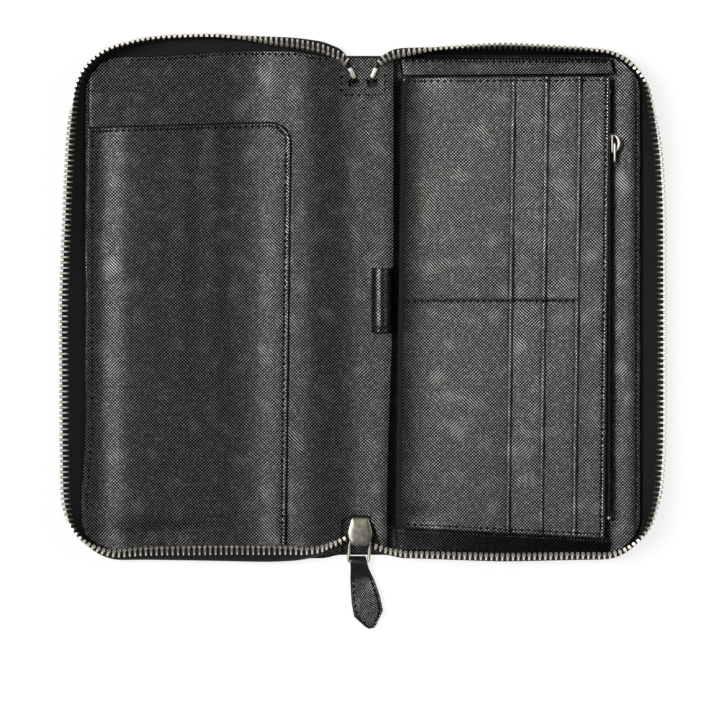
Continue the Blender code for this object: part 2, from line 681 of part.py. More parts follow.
def make_pull(looks, bail, tab):
    """The wire bail through the slider's crown, and the leather tab folded round its far bar."""
    y0, z0, y1, z1 = BAIL_Y, BAIL_Z, BAIL_END_Y, BAIL_END_Z
    cut = 0.12
    rows = [(-0.72, 0.0), (0.72, 0.0), (1.0, cut), (1.0, 1 - cut), (0.86, 1.0), (-0.86, 1.0),
            (-1.0, 1 - cut), (-1.0, cut)]
    path = [(SLIDER_X + a * BAIL_HALF, y0 + b * (y1 - y0), z0 + b * (z1 - z0)) for a, b in rows]
    solid("pull_bail", round_wire(path, BAIL_WIRE / 2), looks["metal"], bail)

    skew = math.tan(math.radians(TAB_SKEW))
    bore = BAIL_WIRE / 2 + RUN + 0.05
    outer = bore + TAB_THICKNESS / 2
    drop = (BAIL_END_Z - TAB_THICKNESS / 2 - 0.25) / TAB_LENGTH
    rings = []
    shares = (outer * 0.75 / TAB_LENGTH, 0.15, 0.45, 0.62, 1 - TAB_POINT / TAB_LENGTH, 1.0)
    for share in shares:
        along = share * TAB_LENGTH
        width = np.interp(share, (0, 0.12, 0.62, shares[-2], 1.0),
                          (TAB_TOP_WIDTH, TAB_TOP_WIDTH, TAB_WIDTH * 0.96, TAB_WIDTH, 0.8))
        x = SLIDER_X + along * skew
        z = BAIL_END_Z - along * drop
        y = y1 - along
        corners = ((-1, -1), (1, -1), (1, 1), (-1, 1))
        rings.append([(x + a * width / 2, y, z + b * TAB_THICKNESS / 2) for a, b in corners])
    body = solid("pull_tab", loft(rings), looks["lining"], tab)
    turns = np.arange(14) * 2 * math.pi / 14
    wide = TAB_TOP_WIDTH / 2
    sleeve = []
    for radius, x in ((outer, -wide), (outer, wide), (bore, wide), (bore, -wide)):
        sleeve.append(np.column_stack([np.full(14, SLIDER_X + x), y1 + radius * np.cos(turns),
                                       z1 + radius * np.sin(turns)]))
    shaped(body, "UNION", loft(sleeve, closed=True))


def make_zip_ends(looks, spine):
    """The two tape ends that go down into the lining's slots, and the stop beside each."""
    deep = Z_BOARD + TAPE
    for side, name in ((-1, "left"), (1, "right")):
        inner = STOP_X + STOP_WIDTH / 2 + 2 * SEAT
        far = inner + END_WIDTH
        outer = FOLD_X - 3 * SEAT
        rows = [((outer - 0.4, 4.2, 8.6), (outer, 6.8, 6.2)),
                ((inner + 1.5, 2.8, 8.2), (far, 5.2, 6.4)),
                ((inner + 0.4, 1.0, 6.4), (far, 1.2, 6.0)),
                ((inner - 0.4, -0.6, 5.0), (far - 1.2, -0.4, 4.6)),
                ((inner - 1.6, -4.2, deep), (far - 2.4, -4.2, deep))]
        stations = [[(side * x, STOP_Y + y, z) for x, y, z in pair] for pair in rows]
        solid(name + "_zip_end", strip(stations, TAPE), looks["tape"], spine)
        turn = math.radians(STOP_TURN) * side
        way = np.array((math.sin(turn), math.cos(turn)))
        across = np.array((way[1], -way[0]))
        middle = np.array((side * STOP_X, STOP_Y))
        corners = [middle + a * way * STOP_LENGTH / 2 + b * across * STOP_WIDTH / 2
                   for a, b in ((-1, -1), (1, -1), (1, 1), (-1, 1))]
        low = Z_TOP + SPINE_BULGE + SEAT
        solid(name + "_top_stop", prism(corners, low, low + STOP_WIDTH), looks["metal"], spine)


def make_strands(looks, spine):
    """The zip between slider and covers, and the closed tail that comes out of the spine."""
    for side, name in ((-1, "left"), (1, "right")):
        near = SLIDER_X + side * (SLIDER_WIDTH / 2 + 2 * SEAT)
        far = side * (FOLD_X - 2 * SEAT)
        mouth = NOSE_Y + 1.6
        foot = Z_TOP + SPINE_BULGE * 0.3 + 2 * SEAT
        stations = [((near, mouth - 1.0, Z_CHAIN), (near, mouth - 2.2, foot)),
                    ((far, mouth - 1.6, Z_CHAIN + 0.3), (far, mouth - 2.2, foot))]
        solid(name + "_strand_tape", strip(stations, TAPE), looks["tape"], spine)
        lift = SEAT + 0.15
        start = (near, mouth - 1.0 + lift, Z_CHAIN + lift * 0.5)
        end = (far, mouth - 1.6 + lift, Z_CHAIN + 0.3 + lift * 0.7)
        count = max(1, int(abs(far - near) / TOOTH_PITCH))
        solid(name + "_strand_teeth", short_teeth(start, end, (0, 1, 0.35), (0, 0.85, 0.6), count),
              looks["metal"], spine)
    low, wide = LEATHER + SEAT, 2.0
    chain = (Z_CHAIN - 1.0, Z_CHAIN + 1.0)
    rows = [(CUTOUT_TOP_Y + TAIL_HIDDEN, low, low + 0.9), (CUTOUT_TOP_Y + 0.4, low, low + 1.4),
            (SLIDER_TOP_Y + 0.9, *chain), (SLIDER_TOP_Y - 4.0, *chain)]
    rings = []
    for y, a, b in rows:
        rings.append([(SLIDER_X + way * wide, y, z) for way, z in ((-1, a), (1, a), (1, b), (-1, b))])
    solid("zip_tail", loft(rings), looks["metal"], spine)


def main():
    """Clear the scene, lay out the joints' axes and make every piece."""
    for item in list(bpy.data.objects):
        bpy.data.objects.remove(item)
    looks = {"leather": look("black_leather", (0.018, 0.018, 0.018), 0.5),
             "lining": look("black_lining_leather", (0.024, 0.023, 0.022), 0.45),
             "board": look("grey_board", (0.3, 0.28, 0.25), 0.9),
             "tape": look("black_tape", (0.012, 0.011, 0.012), 0.85),
             "coil": look("black_coil", (0.015, 0.015, 0.016), 0.5),
             "metal": look("nickel", (0.62, 0.58, 0.52), 0.3, 1.0)}
    spine = axis("spine_axis", (0.0, 0.0, 0.0))
    left = axis("left_fold_axis", (-FOLD_X, 0.0, Z_TOP), spine)
    right = axis("right_fold_axis", (FOLD_X, 0.0, Z_TOP), spine)
    pouch = axis("pouch_axis", (POUCH_EDGE, 0.0, POUCH_Z), right)
    slider = axis("slider_axis", (SLIDER_X, SLIDER_TOP_Y, Z_CHAIN), spine)
    bail = axis("bail_axis", (SLIDER_X, BAIL_Y, BAIL_Z), slider)
    tab = axis("tab_axis", (SLIDER_X, BAIL_END_Y, BAIL_END_Z), bail)
    x, z, _, _ = inner_zip_place()
    inner = axis("inner_slider_axis", (x, INNER_SLIDER_Y, z), pouch)
    pin = x + COIL_THICKNESS / 2 + RUN + INNER_PLATE + 0.65
    pull = axis("inner_pull_axis", (pin, INNER_SLIDER_Y, z), inner)
    make_spine(looks, spine)
    make_pen_loop(looks, spine)
    make_zip_ends(looks, spine)
    make_strands(looks, spine)
    make_cover(-1, "left", looks, left)
    make_cover(1, "right", looks, right)
    make_slip_pocket(looks, left)
    make_pouch(looks, pouch, right)
    make_inner_zip(looks, pouch, inner, pull)
    make_slider(looks, slider)
    make_pull(looks, bail, tab)
    bpy.context.view_layer.update()


main()
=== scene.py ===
"""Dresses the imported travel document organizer: leather, zips, stitching, metal and stage.

The shape functions work in millimetres of the shared frame; piece() turns them into metres.
"""

import math

import bmesh
import bpy
import numpy as np
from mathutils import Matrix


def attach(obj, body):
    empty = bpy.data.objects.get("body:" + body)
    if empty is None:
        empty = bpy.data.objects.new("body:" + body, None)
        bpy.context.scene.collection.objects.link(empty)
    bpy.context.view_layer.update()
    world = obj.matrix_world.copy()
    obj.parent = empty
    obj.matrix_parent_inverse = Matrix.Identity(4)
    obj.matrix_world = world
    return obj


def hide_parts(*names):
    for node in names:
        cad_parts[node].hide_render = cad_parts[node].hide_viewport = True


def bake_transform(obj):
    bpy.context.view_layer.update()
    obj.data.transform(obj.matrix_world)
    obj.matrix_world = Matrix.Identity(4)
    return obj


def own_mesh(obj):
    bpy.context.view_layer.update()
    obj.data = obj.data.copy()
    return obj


bl_info = {
    "name": "Travel Organizer Dressing",
    "version": (1, 0, 0),
    "blender": (4, 5, 0),
    "location": "View3D > Sidebar > Organizer",
    "description": "Builds the leather, zips, stitching and metal of a zip-around travel organizer",
    "category": "Add Mesh",
}

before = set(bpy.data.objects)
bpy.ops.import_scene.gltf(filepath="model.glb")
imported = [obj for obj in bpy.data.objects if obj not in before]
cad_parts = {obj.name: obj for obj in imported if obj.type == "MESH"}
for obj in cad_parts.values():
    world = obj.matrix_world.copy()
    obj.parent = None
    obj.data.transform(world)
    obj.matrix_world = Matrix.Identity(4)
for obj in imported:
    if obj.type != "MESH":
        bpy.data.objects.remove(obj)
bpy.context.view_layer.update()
MM = 0.001
UP = np.array((0.0, 0.0, 1.0))
SHARP = 50.0  # degrees between faces from which an edge stays sharp
SIDES = {-1: "left", 1: "right"}

# Places that several pieces share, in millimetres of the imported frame
TAPE_Z = 1.8
TAPE_INSET = 1.2
TAPE_RISE = 9.8
TAPE_CLAMP = 2.1
TAPE_LIP = 0.8
POUCH_EDGE = 13.4
POUCH_Z = 3.5
POUCH_HALF = 93.5
SEAM_Y = 1.6
POCKET_EDGE = -29.7
POCKET_TOP = 73.8
POCKET_LEAN = 2.1
POCKET_CORNER = 9.0
POCKET_HEIGHT = 176.0
GUSSET_X = 15.4
GUSSET_LENGTH = 86.0
GUSSET_SLANT = 0.8
SLIDER_X = -1.2
NOSE_Y = -98.8
SLIDER_TOP_Y = -86.9
CHAIN_Z = 6.5
BAIL_AXIS = (-1.2, -96.45, 3.25)
TAB_AXIS = (-1.9, -105.25, 2.35)
INNER_ZIP = (100.62, 10.66)
INNER_SLIDER_Y = 66.0
INNER_ZIP_HALF = 86.0
STOP_PLACE = (4.5, 95.0, 6.6)

# Where a piece over a fold leaves the spine and joins a cover, counted outward
LEATHER_BEND = (7.5, 14.5)
LINING_BEND = (1.5, 14.5)
ZIP_BEND = (9.0, 17.0)

# How each tape leans, run by run from the lower spine end round to the upper one: the run and the
# place on it (x or y, nothing for the middle of a corner), the lean at the tape's foot and at its
# teeth in degrees outward from upright, the power of the bend (over 1 bends late, under 1 early)
# and the tape's rise, its length from foot to teeth
LEANS = {
    -1: (("lower", 17.5, -20, -20, 1, 9.8), ("lower", 26, 75, -45, 0.5, 13.6),
         ("lower", 38, 85, -52, 0.6, 13.4), ("lower", 50, 75, -58, 0.7, 12.2),
         ("lower", 67, 70, -56, 0.7, 11), ("lower", 92, 60, -50, 0.7, 9.8),
         ("low_corner", 0, 58, -22, 0.7, 10.4), ("fore", -80, 50, 56, 1, 9.8), ("fore", -40, 57, 58, 1, 9.8),
         ("fore", 0, 60, 60, 1, 9.8), ("fore", 30, 44, 50, 1, 9.8), ("fore", 68, 20, 44, 1, 9.8),
         ("high_corner", 0, 20, 2, 1, 9.8), ("upper", 98, 45, 4, 1, 9.8), ("upper", 88, 90, 5, 2, 9.8),
         ("upper", 75, 88, 0, 4, 10.8), ("upper", 60, 88, 0, 4, 11.4), ("upper", 46, 95, -15, 4, 11),
         ("upper", 33, 95, -48, 4, 11), ("upper", 24, 95, -50, 2, 11.4), ("upper", 19, 92, -50, 1.5, 12),
         ("upper", 15, 95, -50, 1, 12)),
    1: (("lower", 17.5, 20, -22, 1, 9.8), ("lower", 57, 52, -30, 1, 10), ("lower", 92, 42, -26, 0.8, 9.8),
        ("low_corner", 0, 24, -16, 1, 9.8), ("fore", -76, 42, 46, 1, 9.8), ("fore", -55, 62, 52, 1, 9.8),
        ("fore", -10, 62, 52, 1, 9.8), ("fore", 40, 62, 50, 1, 9.8), ("fore", 60, 48, 42, 1, 9.8),
        ("fore", 74, 22, 36, 1, 9.8), ("high_corner", 0, 34, -22, 0.8, 9.8), ("upper", 92, 12, 8, 1, 9.8),
        ("upper", 57, 15, 22, 1, 9.8), ("upper", 31, 32, 0, 1, 9.8), ("upper", 21, 80, -28, 0.7, 9.8),
        ("upper", 15, 75, -38, 0.7, 9.8)),
}
# The zip's two ends by the place of their teeth: x counted outward, y, z, outward heading, the
# leans, power and rise as above
SLIDER_ENDS = {
    -1: ((6.4, -95.4, 6.5, -35, 20, -12, 1, 4.2), (8.8, -96.6, 7.0, -25, 20, -14, 1, 4.8),
         (10.9, -97.6, 7.8, -10, 10, -16, 1, 5.8), (14.2, -98.6, 9.4, 0, -10, -18, 1, 7.6)),
    1: ((4.2, -98.6, 6.5, -15, 20, -12, 1, 4.2), (7.0, -99.6, 7.0, -15, 20, -16, 1, 4.8),
        (9.4, -100.5, 7.8, -10, 20, -18, 1, 5.8), (13.4, -101.3, 9.4, 0, 20, -20, 1, 7.6)),
}
SLOT_END = ((4.6, 94.8, 6.5, 246, 20, -20, 1, 2.0), (4.0, 92.6, 5.6, 250, 15, -15, 1, 2.0),
            (3.8, 90.8, 3.4, 255, 10, -10, 1, 2.0))
STOP_ENDS = {
    -1: ((13.2, 103.1, 9.2, 182, 68, -54, 1, 9.8), (11.1, 102.5, 8.8, 184, 70, -55, 1, 9.4),
         (9.2, 101.7, 8.4, 186, 70, -55, 1, 9.0), (7.7, 100.8, 7.9, 195, 45, -48, 1, 6.0),
         (6.4, 99.0, 7.3, 225, 30, -32, 1, 3.6), (5.4, 96.9, 6.8, 242, 25, -20, 1, 2.4), *SLOT_END),
    1: ((13.2, 102.6, 8.8, 190, 70, -48, 1, 7.4), (11.1, 102.0, 8.4, 200, 65, -44, 1, 6.4),
        (9.0, 101.2, 8.0, 210, 60, -40, 1, 5.2), (7.4, 100.2, 7.6, 222, 50, -34, 1, 3.8),
        (6.2, 98.5, 7.2, 238, 40, -28, 1, 2.8), (5.4, 96.7, 6.8, 244, 30, -20, 1, 2.2), *SLOT_END),
}


def length(label, about, millimetres):
    """A length property, given in millimetres and kept in metres."""
    return bpy.props.FloatProperty(
        name=label, description=about, default=millimetres * MM, unit="LENGTH", precision=5)


def colour(label, about, value):
    """A colour property."""
    return bpy.props.FloatVectorProperty(
        name=label, description=about, default=value, subtype="COLOR", size=3, min=0.0, max=1.0)


class OrganizerSizes(bpy.types.PropertyGroup):
    """Sizes of the visible pieces."""

    cover_length: length("Cover length", "Each cover's height along the spine", 208.0)
    cover_reach: length("Cover reach", "From the spine's middle to a cover's fore edge", 115.5)
    corner_radius: length("Corner radius", "Rounding of the covers' fore corners", 17.0)
    leather: length("Outer leather", "Thickness of the outer leather", 1.2)
    lining: length("Lining", "Thickness of the lining leather", 0.8)
    panel: length("Panel", "Thickness of pocket and card panels", 0.9)
    lining_inset: length("Lining inset", "From the cover's edge to the lining's edge", 1.8)
    tape: length("Zip tape", "Thickness of the zip tape", 0.6)
    tooth_pitch: length("Tooth pitch", "From one zip tooth to the next", 2.2)
    tooth_length: length("Tooth length", "From the tape's edge to a tooth's tip", 2.1)
    stitch_pitch: length("Stitch pitch", "From one stitch to the next", 2.5)
    stitch_length: length("Stitch length", "Visible thread of one stitch", 1.8)
    thread: length("Thread", "Thread diameter", 0.8)
    hatch_pitch: length("Hatch pitch", "Spacing of the leather's crossing lines", 0.95)
    tab_length: length("Tab length", "Length of the slider's leather tab", 27.5)


class OrganizerColours(bpy.types.PropertyGroup):
    """Colours of the finishes."""

    # Ridge and groove colours carry painted light: the grooves are darker as painted shade and the ridges
    # lighter as painted highlight.
    ridge: colour("Leather ridge", "Leather on top of the pressed hatch", (0.045, 0.043, 0.040))
    groove: colour("Leather groove", "Leather down in the pressed hatch", (0.002, 0.002, 0.002))
    tape: colour("Zip tape", "Woven tape", (0.016, 0.0145, 0.015))
    thread: colour("Thread", "Sewing thread", (0.004, 0.004, 0.004))
    # The metal colour is lighter than nickel, painted highlight on teeth, stops and wires; the slider colour
    # is darker, painted shade for the dark reflections on its flat plates.
    metal: colour("Metal", "Nickel of teeth, stops and wire", (0.90, 0.84, 0.73))
    slider: colour("Slider metal", "Satin nickel of the slider", (0.36, 0.325, 0.27))
    board: colour("Board", "Stiffening board inside the covers", (0.30, 0.27, 0.22))
    floor: colour("Floor", "Studio floor", (0.86, 0.86, 0.86))


def size(name):
    """A size of the organizer in millimetres."""
    return getattr(bpy.context.scene.organizer_sizes, name) / MM


def tint(name, share=1.0):
    """A share of a colour of the organizer, with full alpha."""
    return (*(c * share for c in getattr(bpy.context.scene.organizer_colours, name)), 1.0)


# Shapes -----------------------------------------------------------------------------------


def spread(*columns):
    """Points from their coordinates, each stretched over the whole grid."""
    return np.stack(np.broadcast_arrays(*columns), axis=-1)


def read(marks, along, path):
    """A path's columns read at marks of the distance along it."""
    return np.stack([np.interp(marks, along, column) for column in path.T], axis=1)


def unit(vectors):
    """Vectors brought to length 1."""
    return vectors / np.linalg.norm(vectors, axis=-1, keepdims=True)


def bell(x, middle, width):
    """A bell curve of height 1 that falls to 1/e at the given width from its middle."""
    return np.exp(-(((x - middle) / width) ** 2))


def blurred(rows, width, ends):
    """Rows averaged with a bell curve of so many rows; ends(rows, n) gives n rows before and after them."""
    reach = int(3 * width) + 1
    weights = bell(np.arange(-reach, reach + 1), 0, width)
    weights /= weights.sum()
    low, high = ends(rows, reach)
    columns = np.concatenate([low, rows, high]).T
    return np.stack([np.convolve(column, weights, mode="valid") for column in columns], axis=1)


def eased(x, knots, values, width):
    """A line through knots, averaged with a bell curve of the given width, read at x."""
    fine = np.linspace(knots[0], knots[-1], 800)
    rough = np.interp(fine, knots, values)[:, None]
    smooth = blurred(rough, width / (fine[1] - fine[0]),
                     lambda rows, n: (np.repeat(rows[:1], n, axis=0), np.repeat(rows[-1:], n, axis=0)))
    return np.interp(x, fine, smooth[:, 0])


def softened(rows, width):
    """Rows averaged with a bell curve of so many rows, the ends held."""
    return blurred(rows, width, lambda rows, n: (2 * rows[:1] - rows[n:0:-1],
                                                 2 * rows[-1:] - rows[-2:-n - 2:-1]))


def step_up(x, low, high):
    """0 below low, 1 above high, and the smooth cubic 3t2 - 2t3 between."""
    t = np.clip((x - low) / (high - low), 0, 1)
    return t * t * (3 - 2 * t)


def lines(span, step, low=True):
    """Positions from 0 to 1 across a span: even steps, with close rows along a finished edge."""
    near = np.array((0, 0.05, 0.18, 0.4, 0.75, 1.1, 1.4, 1.7, 2.0, 2.5, 3.2, 4.2))
    start, end = near if low else np.zeros(1), span - near[::-1]
    count = max(2, int((end[0] - start[-1]) / step) + 1)
    return np.concatenate([start[:-1], np.linspace(start[-1], end[0], count), end[1:]]) / span


def quads(rows, columns, wrap_rows=False, wrap_columns=False):
    """The four corners of each cell of a grid of points, counted row by row."""
    r, c = np.meshgrid(np.arange(rows - (not wrap_rows)), np.arange(columns - (not wrap_columns)),
                       indexing="ij")
    down, right = (r + 1) % rows, (c + 1) % columns
    return np.stack([r * columns + c, r * columns + right, down * columns + right, down * columns + c],
                    axis=-1).reshape(-1, 4)


def runs(points, axis):
    """Distance along a grid's lines from their start."""
    step = np.linalg.norm(np.diff(points, axis=axis), axis=-1)
    return np.insert(np.cumsum(step, axis=axis), 0, 0, axis=axis)


def sheet(middle, thickness, rounding, square="", flat=None):
    """A closed sheet about a grid of middle points.

    Two skins stand half the thickness off along the normals. Towards a finished edge the
    half thickness falls as a quarter circle, sqrt(1 - (1 - d/rounding)^2) of the distance d;
    sides named in square (0 and 1 are the first axis's ends, 2 and 3 the second's) stay cut.
    """
    rows, columns = middle.shape[:2]
    normal = unit(np.cross(np.gradient(middle, axis=0), np.gradient(middle, axis=1)))
    first, second = runs(middle, 0), runs(middle, 1)
    sides = {"0": first, "1": first[-1:] - first, "2": second, "3": second[:, -1:] - second}
    distance = np.min([d for key, d in sides.items() if key not in square], axis=0)
    share = np.clip(distance / rounding, 0, 1)
    half = (np.broadcast_to(thickness, (rows, columns)) / 2 * np.sqrt(1 - (1 - share) ** 2))[..., None]
    count = rows * columns
    cell = quads(rows, columns)
    index = np.arange(count).reshape(rows, columns)
    ring = np.concatenate([index[0, :-1], index[:-1, -1], index[-1, :0:-1], index[:0:-1, 0]])
    after = np.roll(ring, -1)
    wall = np.stack([ring, after, after + count, ring + count], axis=1)
    flat = middle[..., :2] if flat is None else flat
    points = np.concatenate([middle + normal * half, middle - normal * half]).reshape(-1, 3)
    return points, np.concatenate([cell, cell[:, ::-1] + count, wall]), np.tile(flat.reshape(-1, 2), (2, 1))


def shell(points, wrap_rows=False):
    """A closed skin over rows of points, each row a ring; a row drawn to one point is a pole."""
    rows, columns = points.shape[:2]
    flat = spread(runs(points, 0), runs(points, 1))
    return points.reshape(-1, 3), quads(rows, columns, wrap_rows, True), flat.reshape(-1, 2)


def tube(path, radius, up, sides, closed=False, squeeze=1.0):
    """A round profile carried along a path: ring = path + r (side cos t + squeeze up sin t)."""
    way = np.roll(path, -1, 0) - np.roll(path, 1, 0) if closed else np.gradient(path, axis=0)
    side = unit(np.cross(way, up))
    rise = unit(np.cross(side, way))
    turn = np.arange(sides) * 2 * math.pi / sides
    radius = np.broadcast_to(radius, len(path))[:, None, None]
    ring = side[:, None] * np.cos(turn)[:, None] + squeeze * rise[:, None] * np.sin(turn)[:, None]
    return shell(path[:, None] + radius * ring, wrap_rows=closed)


def pillow(centre, half, axes=np.eye(3), power=0.25):
    """A block with rounded edges: each axis takes sign(c) |c|^power of a sphere's cosines."""
    rows, columns = 14, 28
    lift = np.linspace(-math.pi / 2, math.pi / 2, rows)[:, None]
    turn = (np.arange(columns) + 0.5) * 2 * math.pi / columns
    flat, high, wide, deep = (np.sign(c) * np.abs(c) ** power
                              for c in (np.cos(lift), np.sin(lift), np.cos(turn), np.sin(turn)))
    return shell((spread(flat * wide, flat * deep, high) * half) @ axes + centre)


def plug(corners, width, low, high):
    """An upright block whose outline runs through corners, rounded by a bell curve of the given width."""
    ring = smooth_loop(corners, 0.3, width)
    pole = np.broadcast_to(ring.mean(axis=0), ring.shape)
    rows = ((pole, low), (ring, low), (ring, high), (pole, high))
    return shell(np.stack([spread(*flat.T, z) for flat, z in rows]))


def repeated(shape, faces, origins, *axes):
    """Copies of one small shape: origin + a e1 + b e2 + c e3 for each copy's three axes."""
    points = origins[:, None] + np.einsum("pk,nkd->npd", shape, np.stack(axes, axis=1))
    moved = faces[None] + (np.arange(len(origins)) * len(shape))[:, None, None]
    return points.reshape(-1, 3), moved.reshape(-1, 4), np.tile(shape[:, :2], (len(origins), 1))


def capped(rings):
    """A short loft of rings with six or eight corners: its points, and its faces with quads for ends."""
    rows, columns = rings.shape[:2]
    ends = np.array([(k, k + 1, columns - 2 - k, columns - 1 - k) for k in range(columns // 2 - 1)])
    faces = (quads(rows, columns, False, True), ends[:, ::-1], ends + (rows - 1) * columns)
    return rings.reshape(-1, 3), np.concatenate(faces)


def joined(*parts):
    """Several shapes as one."""
    counts = np.cumsum([0] + [len(part[0]) for part in parts])
    points, faces, uv = zip(*parts)
    return np.concatenate(points), np.concatenate([f + n for f, n in zip(faces, counts)]), np.concatenate(uv)


def mirrored(part):
    """The same shape on the other side of the spine."""
    return part[0] * (-1, 1, 1), part[1][:, ::-1], part[2]


def resampled(path, step):
    """A path's points at an even step along it."""
    path = np.asarray(path, float)
    along = runs(path, 0)
    return read(np.linspace(0, along[-1], max(2, int(along[-1] / step) + 1)), along, path)


def smooth_loop(corners, step, width):
    """A closed path through corners, rounded by a bell curve of the given width."""
    path = resampled([*corners, corners[0]], step)[:-1]
    return blurred(path, width / step, lambda rows, n: (rows[-n:], rows[:n]))


# Objects ----------------------------------------------------------------------------------


def piece(name, part, kind, sharp=SHARP):
    """A named object at the origin from a shape and a finish: doubles merged, faces outward, smooth."""
    points, faces, uv = part
    mesh = bpy.data.meshes.new(name)
    mesh.from_pydata((points * MM).tolist(), [], faces.tolist())
    corner = np.empty(len(mesh.loops), int)
    mesh.loops.foreach_get("vertex_index", corner)
    layer = mesh.uv_layers.new(name="flat")
    layer.data.foreach_set("uv", (uv[corner] * MM).astype(np.float32).ravel())
    skin = bmesh.new()
    skin.from_mesh(mesh)
    bmesh.ops.remove_doubles(skin, verts=skin.verts, dist=2e-6)
    bmesh.ops.recalc_face_normals(skin, faces=skin.faces)
    skin.to_mesh(mesh)
    skin.free()
    mesh.materials.append(finish(kind))
    mesh.shade_smooth()
    mesh.set_sharp_from_angle(angle=math.radians(sharp))
    item = bpy.data.objects.new(name, mesh)
    bpy.context.scene.collection.objects.link(item)
    return item


def cut(item, *parts):
    """Cut shapes out of an object with an exact Boolean and keep the result as its mesh."""
    helper = piece(item.name + "_cutter", joined(*parts), item.data.materials[0].name)
    change = item.modifiers.new("cut", "BOOLEAN")
    change.operation, change.solver, change.object = "DIFFERENCE", "EXACT", helper
    bpy.context.view_layer.update()
    result = bpy.data.meshes.new_from_object(item.evaluated_get(bpy.context.evaluated_depsgraph_get()))
    item.modifiers.clear()
    item.data = result
    result.set_sharp_from_angle(angle=math.radians(SHARP))
    bpy.data.objects.remove(helper)


def settle(item, slot, body, *nodes):
    """Let an object ride on a body in place of CAD nodes."""
    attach(item, body)
    tag(item, slot, *nodes)


def bend(item, slot, side, *nodes, across=LEATHER_BEND):
    """Bake an object's place into its mesh, in place of CAD nodes."""
    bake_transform(item)
    tag(item, slot, *nodes)


def tag(item, slot, *nodes):
    """Hide the CAD nodes that an object stands in for, if any."""
    if nodes:
        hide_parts(*nodes)


# Finishes ---------------------------------------------------------------------------------


class Flow:
    """A shader socket: maths on it adds Math nodes, and node() adds any other node."""

    def __init__(self, tree, socket=None):
        self.tree, self.socket = tree, socket

    def node(self, kind, settings=None, sockets=None, output=0):
        """Add a node of this kind: its settings first, then values or links for its sockets."""
        made = self.tree.nodes.new(kind)
        for key, value in (settings or {}).items():
            setattr(made, key, value)
        for key, value in (sockets or {}).items():
            self.give(made.inputs[key], value)
        return Flow(self.tree, made.outputs[output])

    def give(self, socket, value):
        """Link a socket to a Flow, or set it to a value."""
        if isinstance(value, Flow):
            self.tree.links.new(value.socket, socket)
        else:
            socket.default_value = value

    def out(self, name):
        """Another output of the same node."""
        return Flow(self.tree, self.socket.node.outputs[name])

    def maths(self, operation, *others):
        """A Math node on this value and others."""
        return self.node("ShaderNodeMath", {"operation": operation}, dict(enumerate((self, *others))))

    def __add__(self, other):
        return self.maths("ADD", other)

    def __sub__(self, other):
        return self.maths("SUBTRACT", other)

    def __mul__(self, other):
        return self.maths("MULTIPLY", other)

    def __pow__(self, other):
        return self.maths("POWER", other)

    def __rsub__(self, other):
        return self.node("ShaderNodeMath", {"operation": "SUBTRACT"}, {0: other, 1: self})

    __radd__ = __add__
    __rmul__ = __mul__

    def held(self):
        """The value kept between 0 and 1."""
        return self.node("ShaderNodeClamp", None, {0: self})

    def wave(self):
        """The sine of the value, between 0 and 1."""
        return self.maths("SINE") * 0.5 + 0.5

    def colour(self, low, high):
        """A colour from low at 0 to high at 1."""
        return self.node("ShaderNodeMix", {"data_type": "RGBA"}, {0: self, 6: low, 7: high}, output=2)

    def noise(self, scale, detail=2.0, dimensions="2D"):
        """Blender's noise at this place, with so many features to the metre."""
        return self.node("ShaderNodeTexNoise", {"noise_dimensions": dimensions},
                         {"Vector": self, "Scale": scale, "Detail": detail})

    def bump(self, strength, distance):
        """A normal tipped by this height."""
        return self.node("ShaderNodeBump", None, {"Strength": strength, "Distance": distance, "Height": self})

    def parts(self):
        """The x and y of this place."""
        x = self.node("ShaderNodeSeparateXYZ", None, {0: self})
        return x, x.out("Y")


def blank(name, place="UV"):
    """A new material, its place coordinates and its Principled shader."""
    material = bpy.data.materials.new(name)
    material.use_nodes = True
    tree = material.node_tree
    return material, Flow(tree).node("ShaderNodeTexCoord", output=place), tree.nodes["Principled BSDF"]


def dressed(material, shader, **sockets):
    """The material with its shader's sockets filled; they are named with underscores for spaces."""
    for key, value in sockets.items():
        Flow(material.node_tree).give(shader.inputs[key.replace("_", " ")], value)
    return material


def hatched_leather(name, tone_and_painted_light):
    """Leather pressed with two crossing sets of fine slanted lines.

    With flat coordinates u, v the lines are sin(2 pi (u + v) / (p sqrt 2)) and the same of u - v,
    each bent by slow noise and broken up by fast noise; the grooves multiply together.
    """
    material, flat, shader = blank(name)
    u, v = flat.parts()
    turn = 2 * math.pi / (size("hatch_pitch") * MM * math.sqrt(2))
    drift = flat.noise(120.0)
    fray = (flat.noise(700.0, 3.0) - 0.5) * 1.2
    swing = (flat.noise(90.0, 1.0) - 0.5) * 2.0
    one = ((u + v) * turn + drift * 4.0).wave()
    two = ((u - v) * turn + drift * 3.2 + 1.3).wave()
    first = (1.0 - one) * (0.72 + swing + fray).held()
    second = (1.0 - two) * (0.72 - swing + fray).held()
    height = ((1.0 - first) * (1.0 - second)) ** 4.2
    ridge_light_and_wear = height * (0.9 + flat.noise(28.0, 3.0) * 0.2)
    # Base colour climbs from the groove colour to the ridge colour with the height: painted shade in the
    # grooves and painted highlight on the ridges, with slow patches of wear.
    return dressed(
        material, shader, Base_Color=ridge_light_and_wear.held().colour(tint("groove"), tint("ridge", tone_and_painted_light)),
        Roughness=0.9 - height * 0.3, Normal=height.bump(0.15, 0.00016), Specular_IOR_Level=0.1,
        Coat_Weight=(ridge_light_and_wear * 2.05).held(), Coat_Roughness=0.28, Coat_IOR=2.5)


def woven_tape(name):
    """Zip tape: fine ribs along it crossed by a finer weft, with a little lint."""
    material, flat, shader = blank(name)
    along, across = flat.parts()
    rib = (across * (2 * math.pi / 0.0011)).wave()
    weft = (along * (2 * math.pi / 0.0007) + rib * 1.5).wave()
    weave = rib * 0.6 + weft * 0.4
    lint = flat.noise(900.0, 3.0)
    shade = (weave * 0.7 + lint * 0.4).held().colour(tint("tape", 0.45), tint("tape"))
    return dressed(material, shader, Base_Color=shade, Roughness=0.95 - lint * 0.25,
                   Normal=weave.bump(0.5, 0.0001), Specular_IOR_Level=0.25)


